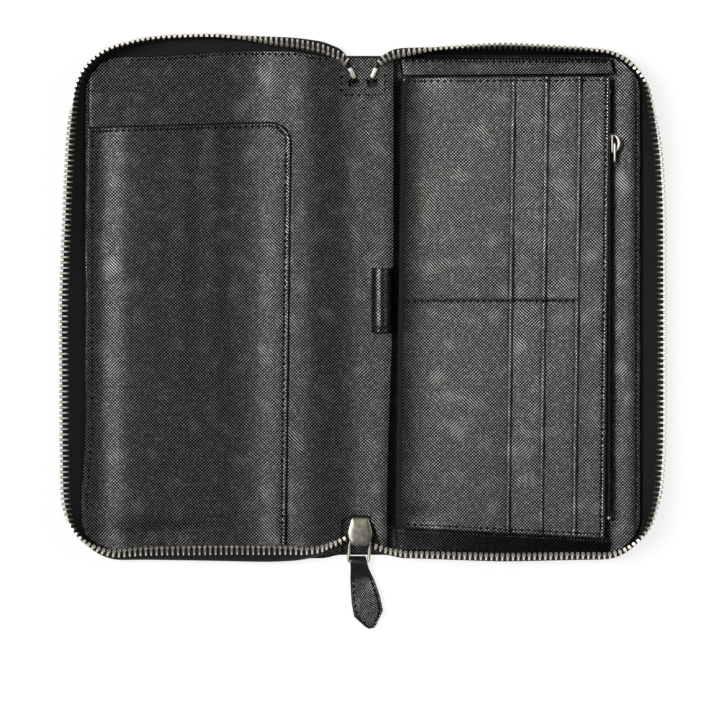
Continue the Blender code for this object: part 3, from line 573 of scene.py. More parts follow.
def nickel(name, tone_and_painted_light, roughness):
    """Nickel with fine rubbing marks and slightly duller patches, its colour lightened as painted highlight
    for teeth, stops, wires and inner slider, darkened as painted shade for the slider and inner stops.
    """
    material, place, shader = blank(name, "Object")
    patch = place.noise(420.0, 3.0, "3D")
    stretch = place.node("ShaderNodeMapping", None, {"Vector": place, "Scale": (4000.0, 500.0, 4000.0)})
    marks = stretch.noise(1.0, 2.0, "3D")
    return dressed(material, shader, Metallic=1.0, Normal=marks.bump(0.12, 0.00005),
                   Base_Color=(patch * 1.4 - 0.2).held().colour(tint(tone_and_painted_light, 0.72), tint(tone_and_painted_light)),
                   Roughness=roughness + (patch - 0.5) * 0.2 + (marks - 0.5) * 0.12)


def sewing_thread(name):
    """Waxed thread, its twist shown as slanted bands."""
    material, flat, shader = blank(name)
    along, across = flat.parts()
    twist = ((along + across * 0.8) * (2 * math.pi / 0.0005)).wave()
    return dressed(material, shader, Base_Color=twist.colour(tint("thread", 0.3), tint("thread")),
                   Roughness=0.85 - twist * 0.15, Normal=twist.bump(0.5, 0.00006), Specular_IOR_Level=0.2)


def pressed_board(name):
    """Grey board with fibres."""
    material, place, shader = blank(name, "Object")
    fibre = place.noise(700.0, 6.0, "3D")
    return dressed(material, shader, Base_Color=fibre.colour(tint("board", 0.6), tint("board")),
                   Roughness=0.8 + fibre * 0.15)


def nylon(name):
    """Black nylon of the inner zip's coil, a little glossy."""
    material, place, shader = blank(name, "Object")
    grain = place.noise(1500.0, 2.0, "3D")
    return dressed(material, shader, Roughness=0.35 + grain * 0.2,
                   Base_Color=grain.colour((0.006, 0.006, 0.007, 1), (0.02, 0.02, 0.022, 1)))


def studio_floor(name):
    """A pale floor that keeps shadows, mixed with plain white light where the camera sees it."""
    material, place, shader = blank(name)
    dressed(material, shader, Base_Color=tint("floor"), Roughness=0.9)
    seen = place.node("ShaderNodeLightPath", output="Is Camera Ray")
    glow = place.node("ShaderNodeEmission", None, {"Color": (1, 1, 1, 1), "Strength": 1.15})
    shown = seen.maths("MAXIMUM", seen.out("Is Glossy Ray")).maths("MAXIMUM", seen.out("Is Transmission Ray"))
    mixed = place.node("ShaderNodeMixShader", None,
                       {0: shown * 0.7, 1: Flow(place.tree, shader.outputs[0]), 2: glow})
    output = next(n for n in place.tree.nodes if n.type == "OUTPUT_MATERIAL")
    place.give(output.inputs["Surface"], mixed)
    return material


# Each leather finish's share of the ridge colour: the card panels, gussets and tab take a lighter copy of the
# same leather, painted light for how brightly they are lit.
FINISHES = {
    "hatched_outer": (hatched_leather, 0.9), "hatched_lining": (hatched_leather, 1.0),
    "hatched_card": (hatched_leather, 1.15), "hatched_tab": (hatched_leather, 1.15),
    "satin_nickel": (nickel, "slider", 0.3), "bright_nickel": (nickel, "metal", 0.4),
    "woven_tape": (woven_tape,), "waxed_thread": (sewing_thread,), "pressed_board": (pressed_board,),
    "coil_nylon": (nylon,), "studio_floor": (studio_floor,),
}


def finish(kind):
    """The named finish, made once."""
    maker, *values = FINISHES[kind]
    return bpy.data.materials.get(kind) or maker(kind, *values)


# Outer leather and linings ----------------------------------------------------------------


def cover_half(x, inset, top_step, bottom_step):
    """How far a cover reaches up and down at x: the fore corners' arcs and a step at the spine."""
    reach, half = size("cover_reach") - inset, size("cover_length") / 2 - inset
    radius = size("corner_radius") - inset
    past = np.clip(x - (reach - radius), 0, radius)
    arc = half - radius + np.sqrt(np.maximum(radius ** 2 - past ** 2, 0))
    near = 1 - step_up(x, 9.0, 17.0)
    return arc - near * top_step, -(arc - near * bottom_step)


def cover_grid(inset, top_step, bottom_step, step):
    """Flat points of half a cover from the spine's middle to the fore edge, column by column."""
    reach = size("cover_reach") - inset
    x = lines(reach, step, low=False) * reach
    top, bottom = cover_half(x, inset, top_step, bottom_step)
    share = lines(size("cover_length") - 2 * inset, step)
    y = bottom[:, None] + (top - bottom)[:, None] * share
    return np.broadcast_to(x[:, None], y.shape), y


def lining_top(x):
    """Height of the lining's face across the spread, x counted to the right.

    It climbs beside the pocket and again over the spine, falls into the right crease, and rises
    slowly towards the right fore edge.
    """
    left = eased(x, (-120, -52, -47, -42, -36, -26, -22, -19, -9, -6, -3, 14.5, 30),
                 (3.2, 3.2, 3.3, 3.55, 4.05, 4.77, 5.0, 5.06, 5.07, 5.13, 5.25, 6.5, 6.5), 1.6)
    crease = step_up(x, 11.2, 14.0)
    right = 3.2 + 1.3 * step_up(x, 98.0, 113.0)
    return left * (1 - crease) + right * crease


def crease_drift(x, y):
    """How far the right crease stands out from its middle place, which moves in towards the slider."""
    return (0.9 - 2.5 * step_up(-y, -20.0, 85.0)) * step_up(x, -4.0, 11.0) * (1 - step_up(x, 16.0, 24.0))


def lining_bow(x):
    """How far the lining's upper edge bows out over the tape, which lies flat on the left."""
    return 2.4 * step_up(x, -92.0, -46.0) * (1 - step_up(x, -32.0, -13.0))


def lining_flare(x, y):
    """How far the lining's and pocket's fore edge flares out at the lower left corner."""
    return -1.9 * step_up(-x, 100.0, 113.0) * step_up(-y, 50.0, 82.0)


class OuterLeather(bpy.types.Operator):
    """The outer leather of both covers, carried over the spine"""

    bl_idname = "organizer.outer_leather"
    bl_label = "Outer leather"

    def execute(self, context):
        thick = size("leather")
        part = sheet(spread(*cover_grid(0.0, 1.6, 1.4, 2.0), thick / 2), thick, 0.7, square="0")
        for side, name in SIDES.items():
            item = piece(name + "_outer_leather", part if side > 0 else mirrored(part), "hatched_outer")
            bend(item, "leather", side, name + "_cover", *(("spine_cover",) if side < 0 else ()))
        for node in ("left_board", "right_board", "spine_board"):
            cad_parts[node].data.materials.clear()
            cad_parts[node].data.materials.append(finish("pressed_board"))
        return {"FINISHED"}


class Linings(bpy.types.Operator):
    """The lining of both covers, humped over the spine, with the slider's and tape ends' openings"""

    bl_idname = "organizer.linings"
    bl_label = "Linings"

    def execute(self, context):
        thick, inset = size("lining"), size("lining_inset")
        mouth = ((-9.0, -112.0), (-9.0, -88.6), (-7.0, -86.2), (1.8, -86.2), (4.4, -90.0), (7.2, -97.5),
                 (7.6, -112.0))
        slot = np.array(((-2.3, -1.6), (-2.3, 1.6), (2.3, 1.6), (2.3, -1.6)))
        low, high = 0.5, 12.0
        slots = [plug(slot + (x, 91.0), 0.6, low, high) for x in (-3.8, 3.8)]
        openings = (plug(mouth, 0.8, low, high), *slots)
        for side, name in SIDES.items():
            out, y = cover_grid(inset, 0.4, 0.4, 1.6)
            x = side * out
            y = y + lining_bow(x) * step_up(y, 80.0, 104.0)
            seam = 0.06 * bell(size("cover_reach") - inset - out, 1.5, 0.5)
            middle = spread(x + lining_flare(x, y) + crease_drift(x, y), y, lining_top(x) - thick / 2 - seam)
            item = piece(name + "_lining_leather", sheet(middle, thick, 0.5, square="0"), "hatched_lining")
            cut(item, *openings)
            bend(item, "lining_leather", side, name + "_lining", *(("spine_lining",) if side < 0 else ()),
                 across=LINING_BEND)
        return {"FINISHED"}


# Main zip ---------------------------------------------------------------------------------


def tape_path(side):
    """One half of the zip, every half millimetre from the slider round to the top stop.

    Columns: foot x (counted outward), y, z, outward heading, lean at foot and at teeth, power, rise.
    The middle run follows the cover's edge, two straights and two quarter circles; the ends
    drop towards the slider and down to the slot beside the spine. Bell averaging joins them.
    """
    reach, half, radius = size("cover_reach"), size("cover_length") / 2, size("corner_radius")
    low_end, high_end = 17.5, 15.0
    straight, upright, upper = reach - radius - low_end, 2 * (half - radius), reach - radius - high_end
    turn = radius * math.pi / 2
    fore = straight + turn
    whole = straight + upright + upper + 2 * turn
    along = np.arange(0, whole, 1.0)
    heading = (np.clip((along - straight) / radius, 0, math.pi / 2)
               + np.clip((along - fore - upright) / radius, 0, math.pi / 2))
    x = (reach - radius + np.minimum(along - straight, 0) - np.maximum(along - whole + upper, 0)
         + (radius - TAPE_INSET) * np.sin(heading))
    y = np.clip(along - fore, 0, upright) - (half - radius) - (radius - TAPE_INSET) * np.cos(heading)
    starts = {"lower": (-low_end, 1), "low_corner": (straight + turn / 2, 0), "fore": (fore + upright / 2, 1),
              "high_corner": (whole - upper - turn / 2, 0), "upper": (whole + high_end, -1)}
    stations = [starts[run][0] + starts[run][1] * place for run, place, *_ in LEANS[side]]
    leans = [eased(along, stations, column, 7.0) for column in zip(*(row[2:] for row in LEANS[side]))]
    low, high = (np.array(ends[side], float) for ends in (SLIDER_ENDS, STOP_ENDS))
    for rows in (low, high):
        rows[:, :3] -= tape_wall(rows, 1)[0][:, -1] - rows[:, :3]
    rows = np.vstack([low, spread(x, y, TAPE_Z, np.degrees(heading), *leans), high])
    marks = runs(rows[:, :2], 0)
    even = np.arange(0, marks[-1], 0.5)
    return softened(read(even, marks, rows), 4.0), even


def tape_wall(rows, side):
    """Points up the standing tape row by row, the outward directions, and the way that its teeth point.

    The lean at share t of the rise up to the teeth's legs is a0 + (a1 - a0) t^power, and a1 between
    the legs; its sines and cosines, summed over the steps, give the way out and up.
    """
    steps = 24
    heading, a0, a1 = np.radians(rows[:, 3:6]).T
    out = spread(side * np.sin(heading), -np.cos(heading), 0.0)
    share = np.minimum(np.linspace(0, TAPE_RISE / (TAPE_RISE - TAPE_CLAMP), steps + 1), 1)
    lean = a0[:, None] + (a1 - a0)[:, None] * share ** rows[:, 6:7]
    middle = (lean[:, 1:] + lean[:, :-1]) / 2
    away, lift = (np.pad(np.cumsum(part * rows[:, 7:] / steps, axis=1), ((0, 0), (1, 0)))[..., None]
                  for part in (np.sin(middle), np.cos(middle)))
    foot = rows[:, :3] * (side, 1, 1)
    way = out * np.sin(a1)[:, None] + UP * np.cos(a1)[:, None]
    return foot[:, None] + out[:, None] * away + lift * UP, out, way


class ZipTapes(bpy.types.Operator):
    """The woven tapes that stand round the covers, from the slider to the slots by the spine"""

    bl_idname = "organizer.zip_tapes"
    bl_label = "Zip tapes"

    def execute(self, context):
        flange_width = 4.6
        for side, name in SIDES.items():
            rows, even = (column[::2] for column in tape_path(side))
            wall, out, way = tape_wall(rows, side)
            flange = out * (flange_width * np.clip((rows[:, 7:] - 6.0) / 3.0, 0.1, 1))
            foot = [(wall[:, 0] - flange * share)[:, None] for share in (1.0, 0.4)]
            middle = np.concatenate([*foot, wall, (wall[:, -1] + way * TAPE_LIP)[:, None]], axis=1)
            rise = np.linspace(0, TAPE_RISE, wall.shape[1])
            across = np.array((-flange_width, -1.8, *rise, TAPE_RISE + TAPE_LIP))
            bead = size("tape") + 0.75 * bell(across, TAPE_RISE + 0.2, 0.5)
            part = sheet(middle, bead, 0.5, flat=spread(even[:, None], across))
            bend(piece(name + "_zip_ribbon", part, "woven_tape"), "tape", side,
                 name + "_zip_tape", name + "_zip_end", name + "_strand_tape", across=ZIP_BEND)
        return {"FINISHED"}


def tooth_shape():
    """One tooth as seven eight-cornered rings along its length: clamped legs, waist, round head."""
    profile = np.array(((-2.0, 0.36, 0.72), (-1.6, 0.46, 0.98), (0.0, 0.50, 1.06), (0.7, 0.48, 1.0),
                        (1.15, 0.56, 0.9), (1.65, 0.76, 0.88), (2.1, 0.56, 0.6)))
    profile[3:, 0] *= size("tooth_length") / 2.1
    wide = np.array((1, 0.6, -0.6, -1, -1, -0.6, 0.6, 1))
    deep = np.array((0.55, 1, 1, 0.55, -0.55, -1, -1, -0.55))
    return capped(np.stack([spread(a, wide * w, deep * h) for a, w, h in profile]))


def tail_height(y):
    """Height of the closed chain behind the slider, which dives under the spine's lining."""
    return CHAIN_Z - 4.4 * step_up(y, -89.5, -83.5)


class ZipTeeth(bpy.types.Operator):
    """The metal teeth, the two top stops and the closed chain behind the slider"""

    bl_idname = "organizer.zip_teeth"
    bl_label = "Zip teeth"

    def execute(self, context):
        shape, faces = tooth_shape()
        pitch, sharp, metal = size("tooth_pitch"), 35.0, "bright_nickel"
        y = np.arange(-90.6, -79.0, pitch)
        chains = []
        for side, name in SIDES.items():
            rows, even = tape_path(side)
            edge = runs(tape_wall(rows, side)[0][:, -1], 0)
            stop = np.argmax((rows[:, 1] < 98.6) & (rows[:, 0] < 14.0) & (even > even[-1] / 2))
            wall, out, way = tape_wall(read(np.arange(1.2, edge[stop], pitch), edge, rows), side)
            along = np.cross(out, UP)
            teeth = repeated(shape, faces, wall[:, -1], way, along, np.cross(way, along))
            bend(piece(name + "_teeth", teeth, metal, sharp), "metal", side,
                 name + "_zip_teeth", name + "_strand_teeth", across=ZIP_BEND)
            turn = math.radians(24.0) * side
            along = np.array((math.sin(turn), math.cos(turn), 0.12))
            across = np.array((math.cos(turn), -math.sin(turn), 0.0))
            axes = np.stack([across, unit(along), np.cross(across, along)])
            block = pillow(STOP_PLACE * np.array((side, 1, 1)), (0.95, 2.5, 1.1), axes, 0.35)
            settle(piece(name + "_stop", block, metal), "metal", "spine", name + "_top_stop")
            place = y + side * pitch / 4
            z = tail_height(place)
            run = unit(spread(0.0, np.ones_like(y), np.gradient(z, place)))
            way = np.broadcast_to((-side, 0.0, 0.0), run.shape)
            chains.append(repeated(shape * (1, 1, 0.8), faces, spread(SLIDER_X + side * 1.9, place, z),
                                   way, run, np.cross(way, run)))
        settle(piece("zip_tail_teeth", joined(*chains), metal, sharp), "metal", "spine", "zip_tail")
        x, y = SLIDER_X + np.linspace(-4.6, 4.6, 12), np.linspace(-87.6, -79.5, 24)[:, None]
        strip = sheet(spread(x, y, tail_height(y) + 1.2), size("tape"), 0.3)
        settle(piece("zip_tail_ribbon", strip, "woven_tape"), "tape", "spine")
        return {"FINISHED"}


# Slip pocket ------------------------------------------------------------------------------


def pocket_rise(x, y):
    """How far the slip pocket's panel stands off the lining.

    It rises from its fore edge, falls slowly towards the middle, and has soft upright ripples
    that fade downward.
    """
    broad = eased(x, (-120, -114, -108, -106, -98, -90, -60, -30),
                  (0.2, 0.2, 0, 0.03, 0.6, 0.66, 0.6, 0.45), 1.5)
    upper = step_up(y, -60.0, 60.0)
    band = step_up(x, -88, -78) * (1 - step_up(x, -58, -48))
    ripple = 0.045 * np.cos((x + 74.0) * 2 * math.pi / 13.0) * band
    sag = -0.5 * bell(y, -93.0, 3.2) * bell(x, -84.0, 16.0)
    return 0.06 + np.maximum(broad + ripple * (0.3 + 0.7 * upper) + sag * step_up(broad, 0.0, 0.5), 0.0)


def pocket_slant(x):
    """How far the slip pocket's upper edge climbs towards the spine."""
    return (x + 75.0) * 0.03


def pocket_lean(y):
    """The shift of the slip pocket's spine-side edge, which draws away from the spine towards its foot."""
    return POCKET_LEAN * (y - 72.0) / 175.0


def pocket_spot(x, share):
    """Points of the slip pocket: x across, share from its foot to its top edge, its round corner."""
    past = np.clip(x - (POCKET_EDGE - POCKET_CORNER), 0, POCKET_CORNER)
    top = POCKET_TOP + pocket_slant(x) - POCKET_CORNER + np.sqrt(POCKET_CORNER ** 2 - past ** 2)
    bottom = cover_half(-x, size("lining_inset") + 0.8, 0.0, 0.0)[1]
    y = bottom + (top - bottom) * share
    return x + pocket_lean(y) * step_up(x, -113.0, -31.0) + lining_flare(x, y), y


class SlipPocket(bpy.types.Operator):
    """The slip pocket on the left, with soft folds and a dark line round its edge, both edge paint and
    painted shadow of the raised edge
    """

    bl_idname = "organizer.slip_pocket"
    bl_label = "Slip pocket"

    def execute(self, context):
        thick = size("panel")
        fore = -(size("cover_reach") - size("lining_inset") - 0.8)
        x = fore + lines(POCKET_EDGE - fore, 1.6) * (POCKET_EDGE - fore)
        share = lines(POCKET_HEIGHT, 1.8)
        x, y = pocket_spot(x[:, None], share[None])
        edge = np.minimum(POCKET_EDGE + pocket_lean(y) - x, (1 - share) * POCKET_HEIGHT)
        z = lining_top(x) + pocket_rise(x, y) + thick / 2 - 0.07 * bell(edge, 1.6, 0.45)
        panel = piece("slip_pocket_leather", sheet(spread(x, y, z), thick, 0.35), "hatched_lining")
        settle(panel, "lining_leather", "left_cover", "left_slip_pocket")
        # A dark tube round the panel's raised edge: edge paint, and painted shadow of the edge on the lining.
        face = spread(x, y, z + thick / 2 - 0.22)
        path = resampled(np.concatenate([face[:, -1], face[-1, -2::-1]]), 1.0)
        edge_paint_and_shadow = piece("pocket_edge_paint", tube(path, 0.34, UP, 8), "waxed_thread")
        settle(edge_paint_and_shadow, "lining_leather", "left_cover")
        return {"FINISHED"}


# Card pouch -------------------------------------------------------------------------------


def card_skew(x, y):
    """The pouch's y at x: its lower edge slants down to the right, its upper one stays level."""
    return y * (1 + (0.013 - 0.011 * y / POUCH_HALF) * (x - 57) / 44)


def card_spot(u, y, w, tilt=5.0):
    """A point of the pouch: u out from the spine-side edge, y along, w above its tilted plane."""
    turn = math.radians(tilt)
    x = POUCH_EDGE + u * math.cos(turn) - w * math.sin(turn)
    z = POUCH_Z + u * math.sin(turn) + w * math.cos(turn)
    return spread(x + 1.2 * y / POUCH_HALF, card_skew(x, y), z)


def card_stack(u):
    """Height of the uppermost card panel's face above the pouch's plane."""
    return np.interp(u, (2.2, 2.8, 5, 8.5, 14, 48.6, 48.7, 62.1, 62.2, 75.6, 75.7, 87),
                     (3.6, 6.55, 6.25, 6.0, 5.9, 6.0, 4.6, 4.9, 3.4, 3.7, 2.2, 2.5))


def card_corner(y):
    """How far the panels' spine-side edge is cut back towards its two rounded corners."""
    return 2.0 * step_up(np.abs(y), 88.5, 93.5) ** 2


def card_dip(u, y):
    """How far the front panel's spine-side edge is pressed down towards its two corners."""
    return 0.55 * step_up(np.abs(y), 82.0, 89.0) * (1 - step_up(u, 4.0, 24.0))


def card_swell(u, y):
    """Slight swelling of the panels between their sewn rows."""
    rows = np.abs(np.sin(math.pi * np.clip(y - SEAM_Y, -95, 92) / np.where(y > SEAM_Y, 92.0, 95.0)))
    pull = 0.12 * bell(y, SEAM_Y, 0.6) * (u < 75.7)
    return 0.2 * rows * np.sin(math.pi * np.clip(u / 87.0, 0, 1)) - pull


class CardPouch(bpy.types.Operator):
    """The pouch's back, its card base with three stepped slots, a dark strip at its spine-side edge as
    painted shade, and its two gussets
    """

    bl_idname = "organizer.card_pouch"
    bl_label = "Card pouch"

    def execute(self, context):
        thick = size("panel")
        y = (lines(2 * POUCH_HALF, 2.2) * 2 - 1) * POUCH_HALF
        y = np.sort(np.append(y, SEAM_Y + np.linspace(-1.2, 1.2, 7)))[None]
        profiles = {"base": ((1.8, 75.6, 87.0), (1.3, 1.3, 1.58)),
                    "third": ((26.0, 62.1, 75.6), (2.5, 2.5, 2.8)),
                    "second": ((13.0, 48.6, 62.1), (3.7, 3.7, 3.98)),
                    "front": ((2.2, 2.8, 5.0, 8.5, 14.0, 48.6), (2.7, 5.65, 5.35, 5.1, 5.0, 5.1))}
        for name, (knots, heights) in profiles.items():
            near = knots[0] + card_corner(y) * (knots[0] < 5)
            u = near + lines(knots[-1] - knots[0], 1.6)[:, None] * (knots[-1] - near)
            w = eased(u, knots, heights, 0.6) + thick / 2 + card_swell(u, y)
            w -= card_dip(u, y) * (name == "front") + 0.07 * bell(knots[-1] - u, 1.5, 0.45)
            item = piece("card_" + name + "_leather", sheet(card_spot(u, y, w), thick, 0.55), "hatched_card")
            settle(item, "lining_leather", "card_pouch", "card_panel_" + name)
        # A dark tape strip along the panels' spine-side edge: painted shade where the edge sinks into the
        # crease.
        route = softened(resampled(((1.7, 1.2), (1.7, 6.0), (2.1, 6.72), (3.9, 6.6)), 0.25), 1.5)
        crease_shade_strip = card_spot(route[:, :1] + card_corner(y), y, route[:, 1:] - card_dip(route[:, :1], y))
        part = sheet(crease_shade_strip, 0.3, 0.14, flat=spread(y, runs(route, 0)[:, None]))
        settle(piece("pouch_edge_binding", part, "woven_tape"), "tape", "card_pouch")
        u = (1.8 + lines(84.2, 3.0) * 84.2)[:, None]
        item = piece("pouch_back_leather", sheet(card_spot(u, y, 0.75, 2.7), thick, 0.5), "hatched_lining")
        settle(item, "lining_leather", "card_pouch", "pouch_back")
        along = lines(GUSSET_LENGTH, 2.0)[:, None]
        across = lines(9.0, 0.8)[None]
        x = GUSSET_X + along * GUSSET_LENGTH
        fall = np.sin(math.pi * across)
        ripple = 0.03 * np.sin(along * 30.0 + across * 3) * fall
        foot = 3.95
        for side, name in ((1, "top"), (-1, "bottom")):
            outer = 101.6 - GUSSET_SLANT * side * along
            inner = np.abs(card_skew(x, side * POUCH_HALF)) + 0.75
            shelf = step_up(across, 0.0, 0.12) if side > 0 else across ** 1.3
            pinch = 0.16 * bell(x, 34.0, 9.0) * bell(across, 0.7, 0.2) * (side > 0)
            z = foot + (4.3 + along * 6.6 - foot) * shelf - 0.15 * fall + ripple - pinch
            y = side * (outer + (inner - outer) * across)
            grid = spread(x + side * 1.2 * across, y, np.maximum(z, 3.75))
            item = piece("gusset_" + name + "_leather", sheet(grid, 0.7, 0.35), "hatched_card")
            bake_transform(item)
            tag(item, "lining_leather", "gusset_" + name)
        return {"FINISHED"}


# Pen loop ---------------------------------------------------------------------------------


class PenLoop(bpy.types.Operator):
    """The leather pen loop, a strip bent into a drop shape with both ends in the crease"""

    bl_idname = "organizer.pen_loop"
    bl_label = "Pen loop"

    def execute(self, context):
        route = ((12.0, 4.2), (10.6, 6.4), (7.8, 6.5), (5.4, 6.8), (4.1, 8.0), (3.8, 9.2), (4.2, 10.7),
                 (5.6, 12.0), (7.4, 12.4), (9.2, 12.0), (10.6, 10.7), (11.2, 9.0), (11.6, 6.8), (12.6, 4.1))
        path = softened(resampled(route, 0.25), 3.0)[:, None]
        y = 1.8 + (lines(26.7, 1.5) * 2 - 1) * 13.35
        hem = 0.22 * bell(y, -9.65, 0.3)
        x, z = np.moveaxis(path - unit(path - (7.5, 9.2)) * hem[:, None], -1, 0)
        part = sheet(spread(x, y, z), 0.9, 0.4, flat=spread(runs(path, 0), y))
        item = piece("pen_loop_leather", part, "hatched_lining")
        settle(item, "lining_leather", "spine", "pen_loop")
        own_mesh(item)
        return {"FINISHED"}


# Slider and pull --------------------------------------------------------------------------


def slider_half(share):
    """Half width of the slider's plates from the wide mouth down to the nose."""
    return eased(share, (0, 0.06, 0.46, 0.59, 0.76, 0.89, 0.97, 1.0),
                 (3.0, 3.6, 4.95, 5.1, 4.75, 3.9, 2.3, 1.3), 0.035)


def slider_plate(height, thickness, dome):
    """A shield-shaped plate: width by slider_half, gently domed, with a rolled rim."""
    share = lines(SLIDER_TOP_Y - NOSE_Y, 0.5)[:, None]
    across = lines(10.0, 0.5) * 2 - 1
    rim = np.maximum(np.abs(across), np.abs(share * 2 - 1))
    grid = spread(SLIDER_X + slider_half(share) * across, SLIDER_TOP_Y - share * (SLIDER_TOP_Y - NOSE_Y),
                  height + dome * (1 - rim ** 4))
    return sheet(grid, thickness, 0.45)


class Slider(bpy.types.Operator):
    """The zip's slider: two plates on a post, rims along its sides and a crown below"""

    bl_idname = "organizer.slider"
    bl_label = "Slider"

    def execute(self, context):
        parts = [slider_plate(8.25, 1.05, 0.28), slider_plate(4.7, 1.0, 0.0),
                 pillow((SLIDER_X, NOSE_Y + 2.4, CHAIN_Z), (1.6, 2.2, 1.6), power=0.5)]
        share = np.linspace(0.05, 0.46, 16)
        radius = 0.5 * np.sqrt(np.maximum(1 - np.linspace(-1, 1, 16) ** 8, 0.0004))
        for side in SIDES:
            x = SLIDER_X + side * (slider_half(share) - 0.5)
            for z in (7.5, 5.5):
                path = spread(x, SLIDER_TOP_Y - share * (SLIDER_TOP_Y - NOSE_Y), z)
                parts.append(tube(path, radius, UP, 10))
        near, far = NOSE_Y + 0.9, SLIDER_TOP_Y - 2.4
        route = ((near, 4.6), (near, 2.4), (near + 0.5, 1.95), (far - 1.2, 1.95), (far, 3.6), (far, 4.6))
        y, z = softened(resampled(route, 0.2), 2.0).T[..., None]
        parts.append(sheet(spread(SLIDER_X + np.linspace(-1.2, 1.2, 9), y, z), 0.8, 0.3, square="01"))
        settle(piece("slider_body", joined(*parts), "satin_nickel"), "metal", "zip_slider", "zip_slider")
        return {"FINISHED"}


def tab_width(along):
    """The leather tab's width: narrow at the bail, widest near its end, then a blunt point."""
    return eased(along, np.array((0, 0.09, 0.27, 0.57, 0.78, 0.975, 1)) * size("tab_length"),
                 (6.9, 7.4, 9.6, 11.7, 11.9, 4.0, 1.5), 0.5)


def tab_spot(along, across, z):
    """A point of the tab so far from the bail, across from -1 to 1, at height z."""
    out = across * tab_width(along) / 2
    turned = out * step_up(along, 3.0, 12.0)
    x = TAB_AXIS[0] + along * math.tan(math.radians(11.0)) + out
    return spread(x, TAB_AXIS[1] - along + 0.22 * turned, z + 0.11 * turned)


class Pull(bpy.types.Operator):
    """The wire bail on the slider and the leather tab folded round it"""

    bl_idname = "organizer.pull"
    bl_label = "Pull"

    def execute(self, context):
        corners = np.array(((-0.8, 0), (0.8, 0), (1.0, 0.1), (1.0, 0.94), (0.92, 1), (-0.92, 1), (-1.0, 0.94),
                            (-1.0, 0.1)))
        near, far = np.array(BAIL_AXIS), np.array(TAB_AXIS)
        path = smooth_loop(near + corners[:, 1:] * (far - near) + corners[:, :1] * (4.2, 0, 0), 0.2, 0.5)
        wire = piece("bail_wire", tube(path, 0.65, (0, 0.09, 1), 14, closed=True), "bright_nickel")
        settle(wire, "metal", "pull_bail", "pull_bail")
        total, axis_z = size("tab_length"), TAB_AXIS[2]
        under = [(total, 0.5), (3.0, 0.55), (1.2, 0.95)]
        over = [(1.2, 3.72), (2.6, 2.9), (4.2, 1.85), (6.5, 1.45), (total, 1.38)]
        turn = np.linspace(-math.pi / 2, math.pi / 2, 12)
        wrap = spread(-2.0 * np.cos(turn), axis_z + 1.35 * np.sin(turn))
        path = softened(resampled([*under, *wrap, *over], 0.35), 2.0)
        along, z = path.T[..., None]
        across = lines(10.0, 0.8) * 2 - 1
        inset = (1 - np.abs(across)) * tab_width(along) / 2
        rim = 0.2 * bell(inset, 0.7, 0.4) * np.sign(z - axis_z + 0.9) * step_up(along, 3.0, 6.0)
        flat = spread(runs(path, 0)[:, None], across * 5.0) * 1.3
        strip = sheet(tab_spot(along, across, z + rim), 0.86, 0.4, flat=flat)
        settle(piece("tab_leather_strip", strip, "hatched_tab"), "lining_leather", "pull_tab", "pull_tab")
        return {"FINISHED"}


# Inner zip --------------------------------------------------------------------------------


class InnerZip(bpy.types.Operator):
    """The pouch's own zip: tapes, nylon coils, stops, a small slider and its wire pull"""

    bl_idname = "organizer.inner_zip"
    bl_label = "Inner zip"

    def execute(self, context):
        x, level = INNER_ZIP
        loops = 150
        y = np.linspace(-INNER_ZIP_HALF, INNER_ZIP_HALF, 120)[:, None]
        turn = np.linspace(0, 2 * math.pi * loops, loops * 12)
        run = INNER_ZIP_HALF * (2 * turn / turn[-1] - 1)
        for name, way, end in (("back", -1, 7.85), ("card", 1, 13.4)):
            near = level + way * 1.5
            z = near + (end - near) * lines(4.0, 0.5)
            part = sheet(spread(x, y, z), 0.5, 0.25, flat=spread(y, z))
            tape = piece("inner_tape_" + name, part, "woven_tape")
            settle(tape, "tape", "card_pouch", "inner_zip_tape_" + name)
            path = spread(x + 0.55 * np.cos(turn), run, level + way * (0.92 + 0.3 * np.sin(turn)))
            coil = piece("inner_coil_" + name, tube(path, 0.16, (0.3, 1, 0), 5), "coil_nylon")
            settle(coil, "coil", "card_pouch", "inner_zip_coil_" + name)
        for name, way in (("top", 1), ("bottom", -1)):
            block = pillow((x, way * 87.2, level), (0.75, 0.9, 1.3), power=0.4)
            stop = piece("inner_stop_" + name, block, "satin_nickel")
            settle(stop, "metal", "card_pouch", "inner_zip_stop_" + name)
        y = INNER_SLIDER_Y
        turn = np.linspace(0, math.pi, 30)
        arch = spread(102.0 + 2.7 * np.sin(turn), y - 3.5 * np.cos(turn), level)
        parts = [pillow((101.87, y, level), (0.32, 4.0, 1.5)), pillow((99.37, y, level), (0.3, 4.0, 1.2)),
                 pillow((x, y + 2.8, level), (1.2, 0.8, 0.3)),
                 tube(arch, 0.3 + 0.5 * np.sin(turn) ** 2, UP, 12, squeeze=1.1)]
        body = piece("inner_slider_body", joined(*parts), "bright_nickel")
        settle(body, "metal", "inner_slider", "inner_slider")
        corners = ((0, -1.6), (0, 1.6), (-4.0, 1.9), (-7.5, 1.6), (-7.5, -1.6), (-4.0, -1.9))
        path = smooth_loop([(102.82, y + a, level + b) for a, b in corners], 0.2, 0.45)
        wire = piece("inner_pull_wire", tube(path, 0.45, (1, 0, 0), 10, closed=True), "bright_nickel")
        settle(wire, "metal", "inner_pull", "inner_pull")
        return {"FINISHED"}


# Stitching --------------------------------------------------------------------------------


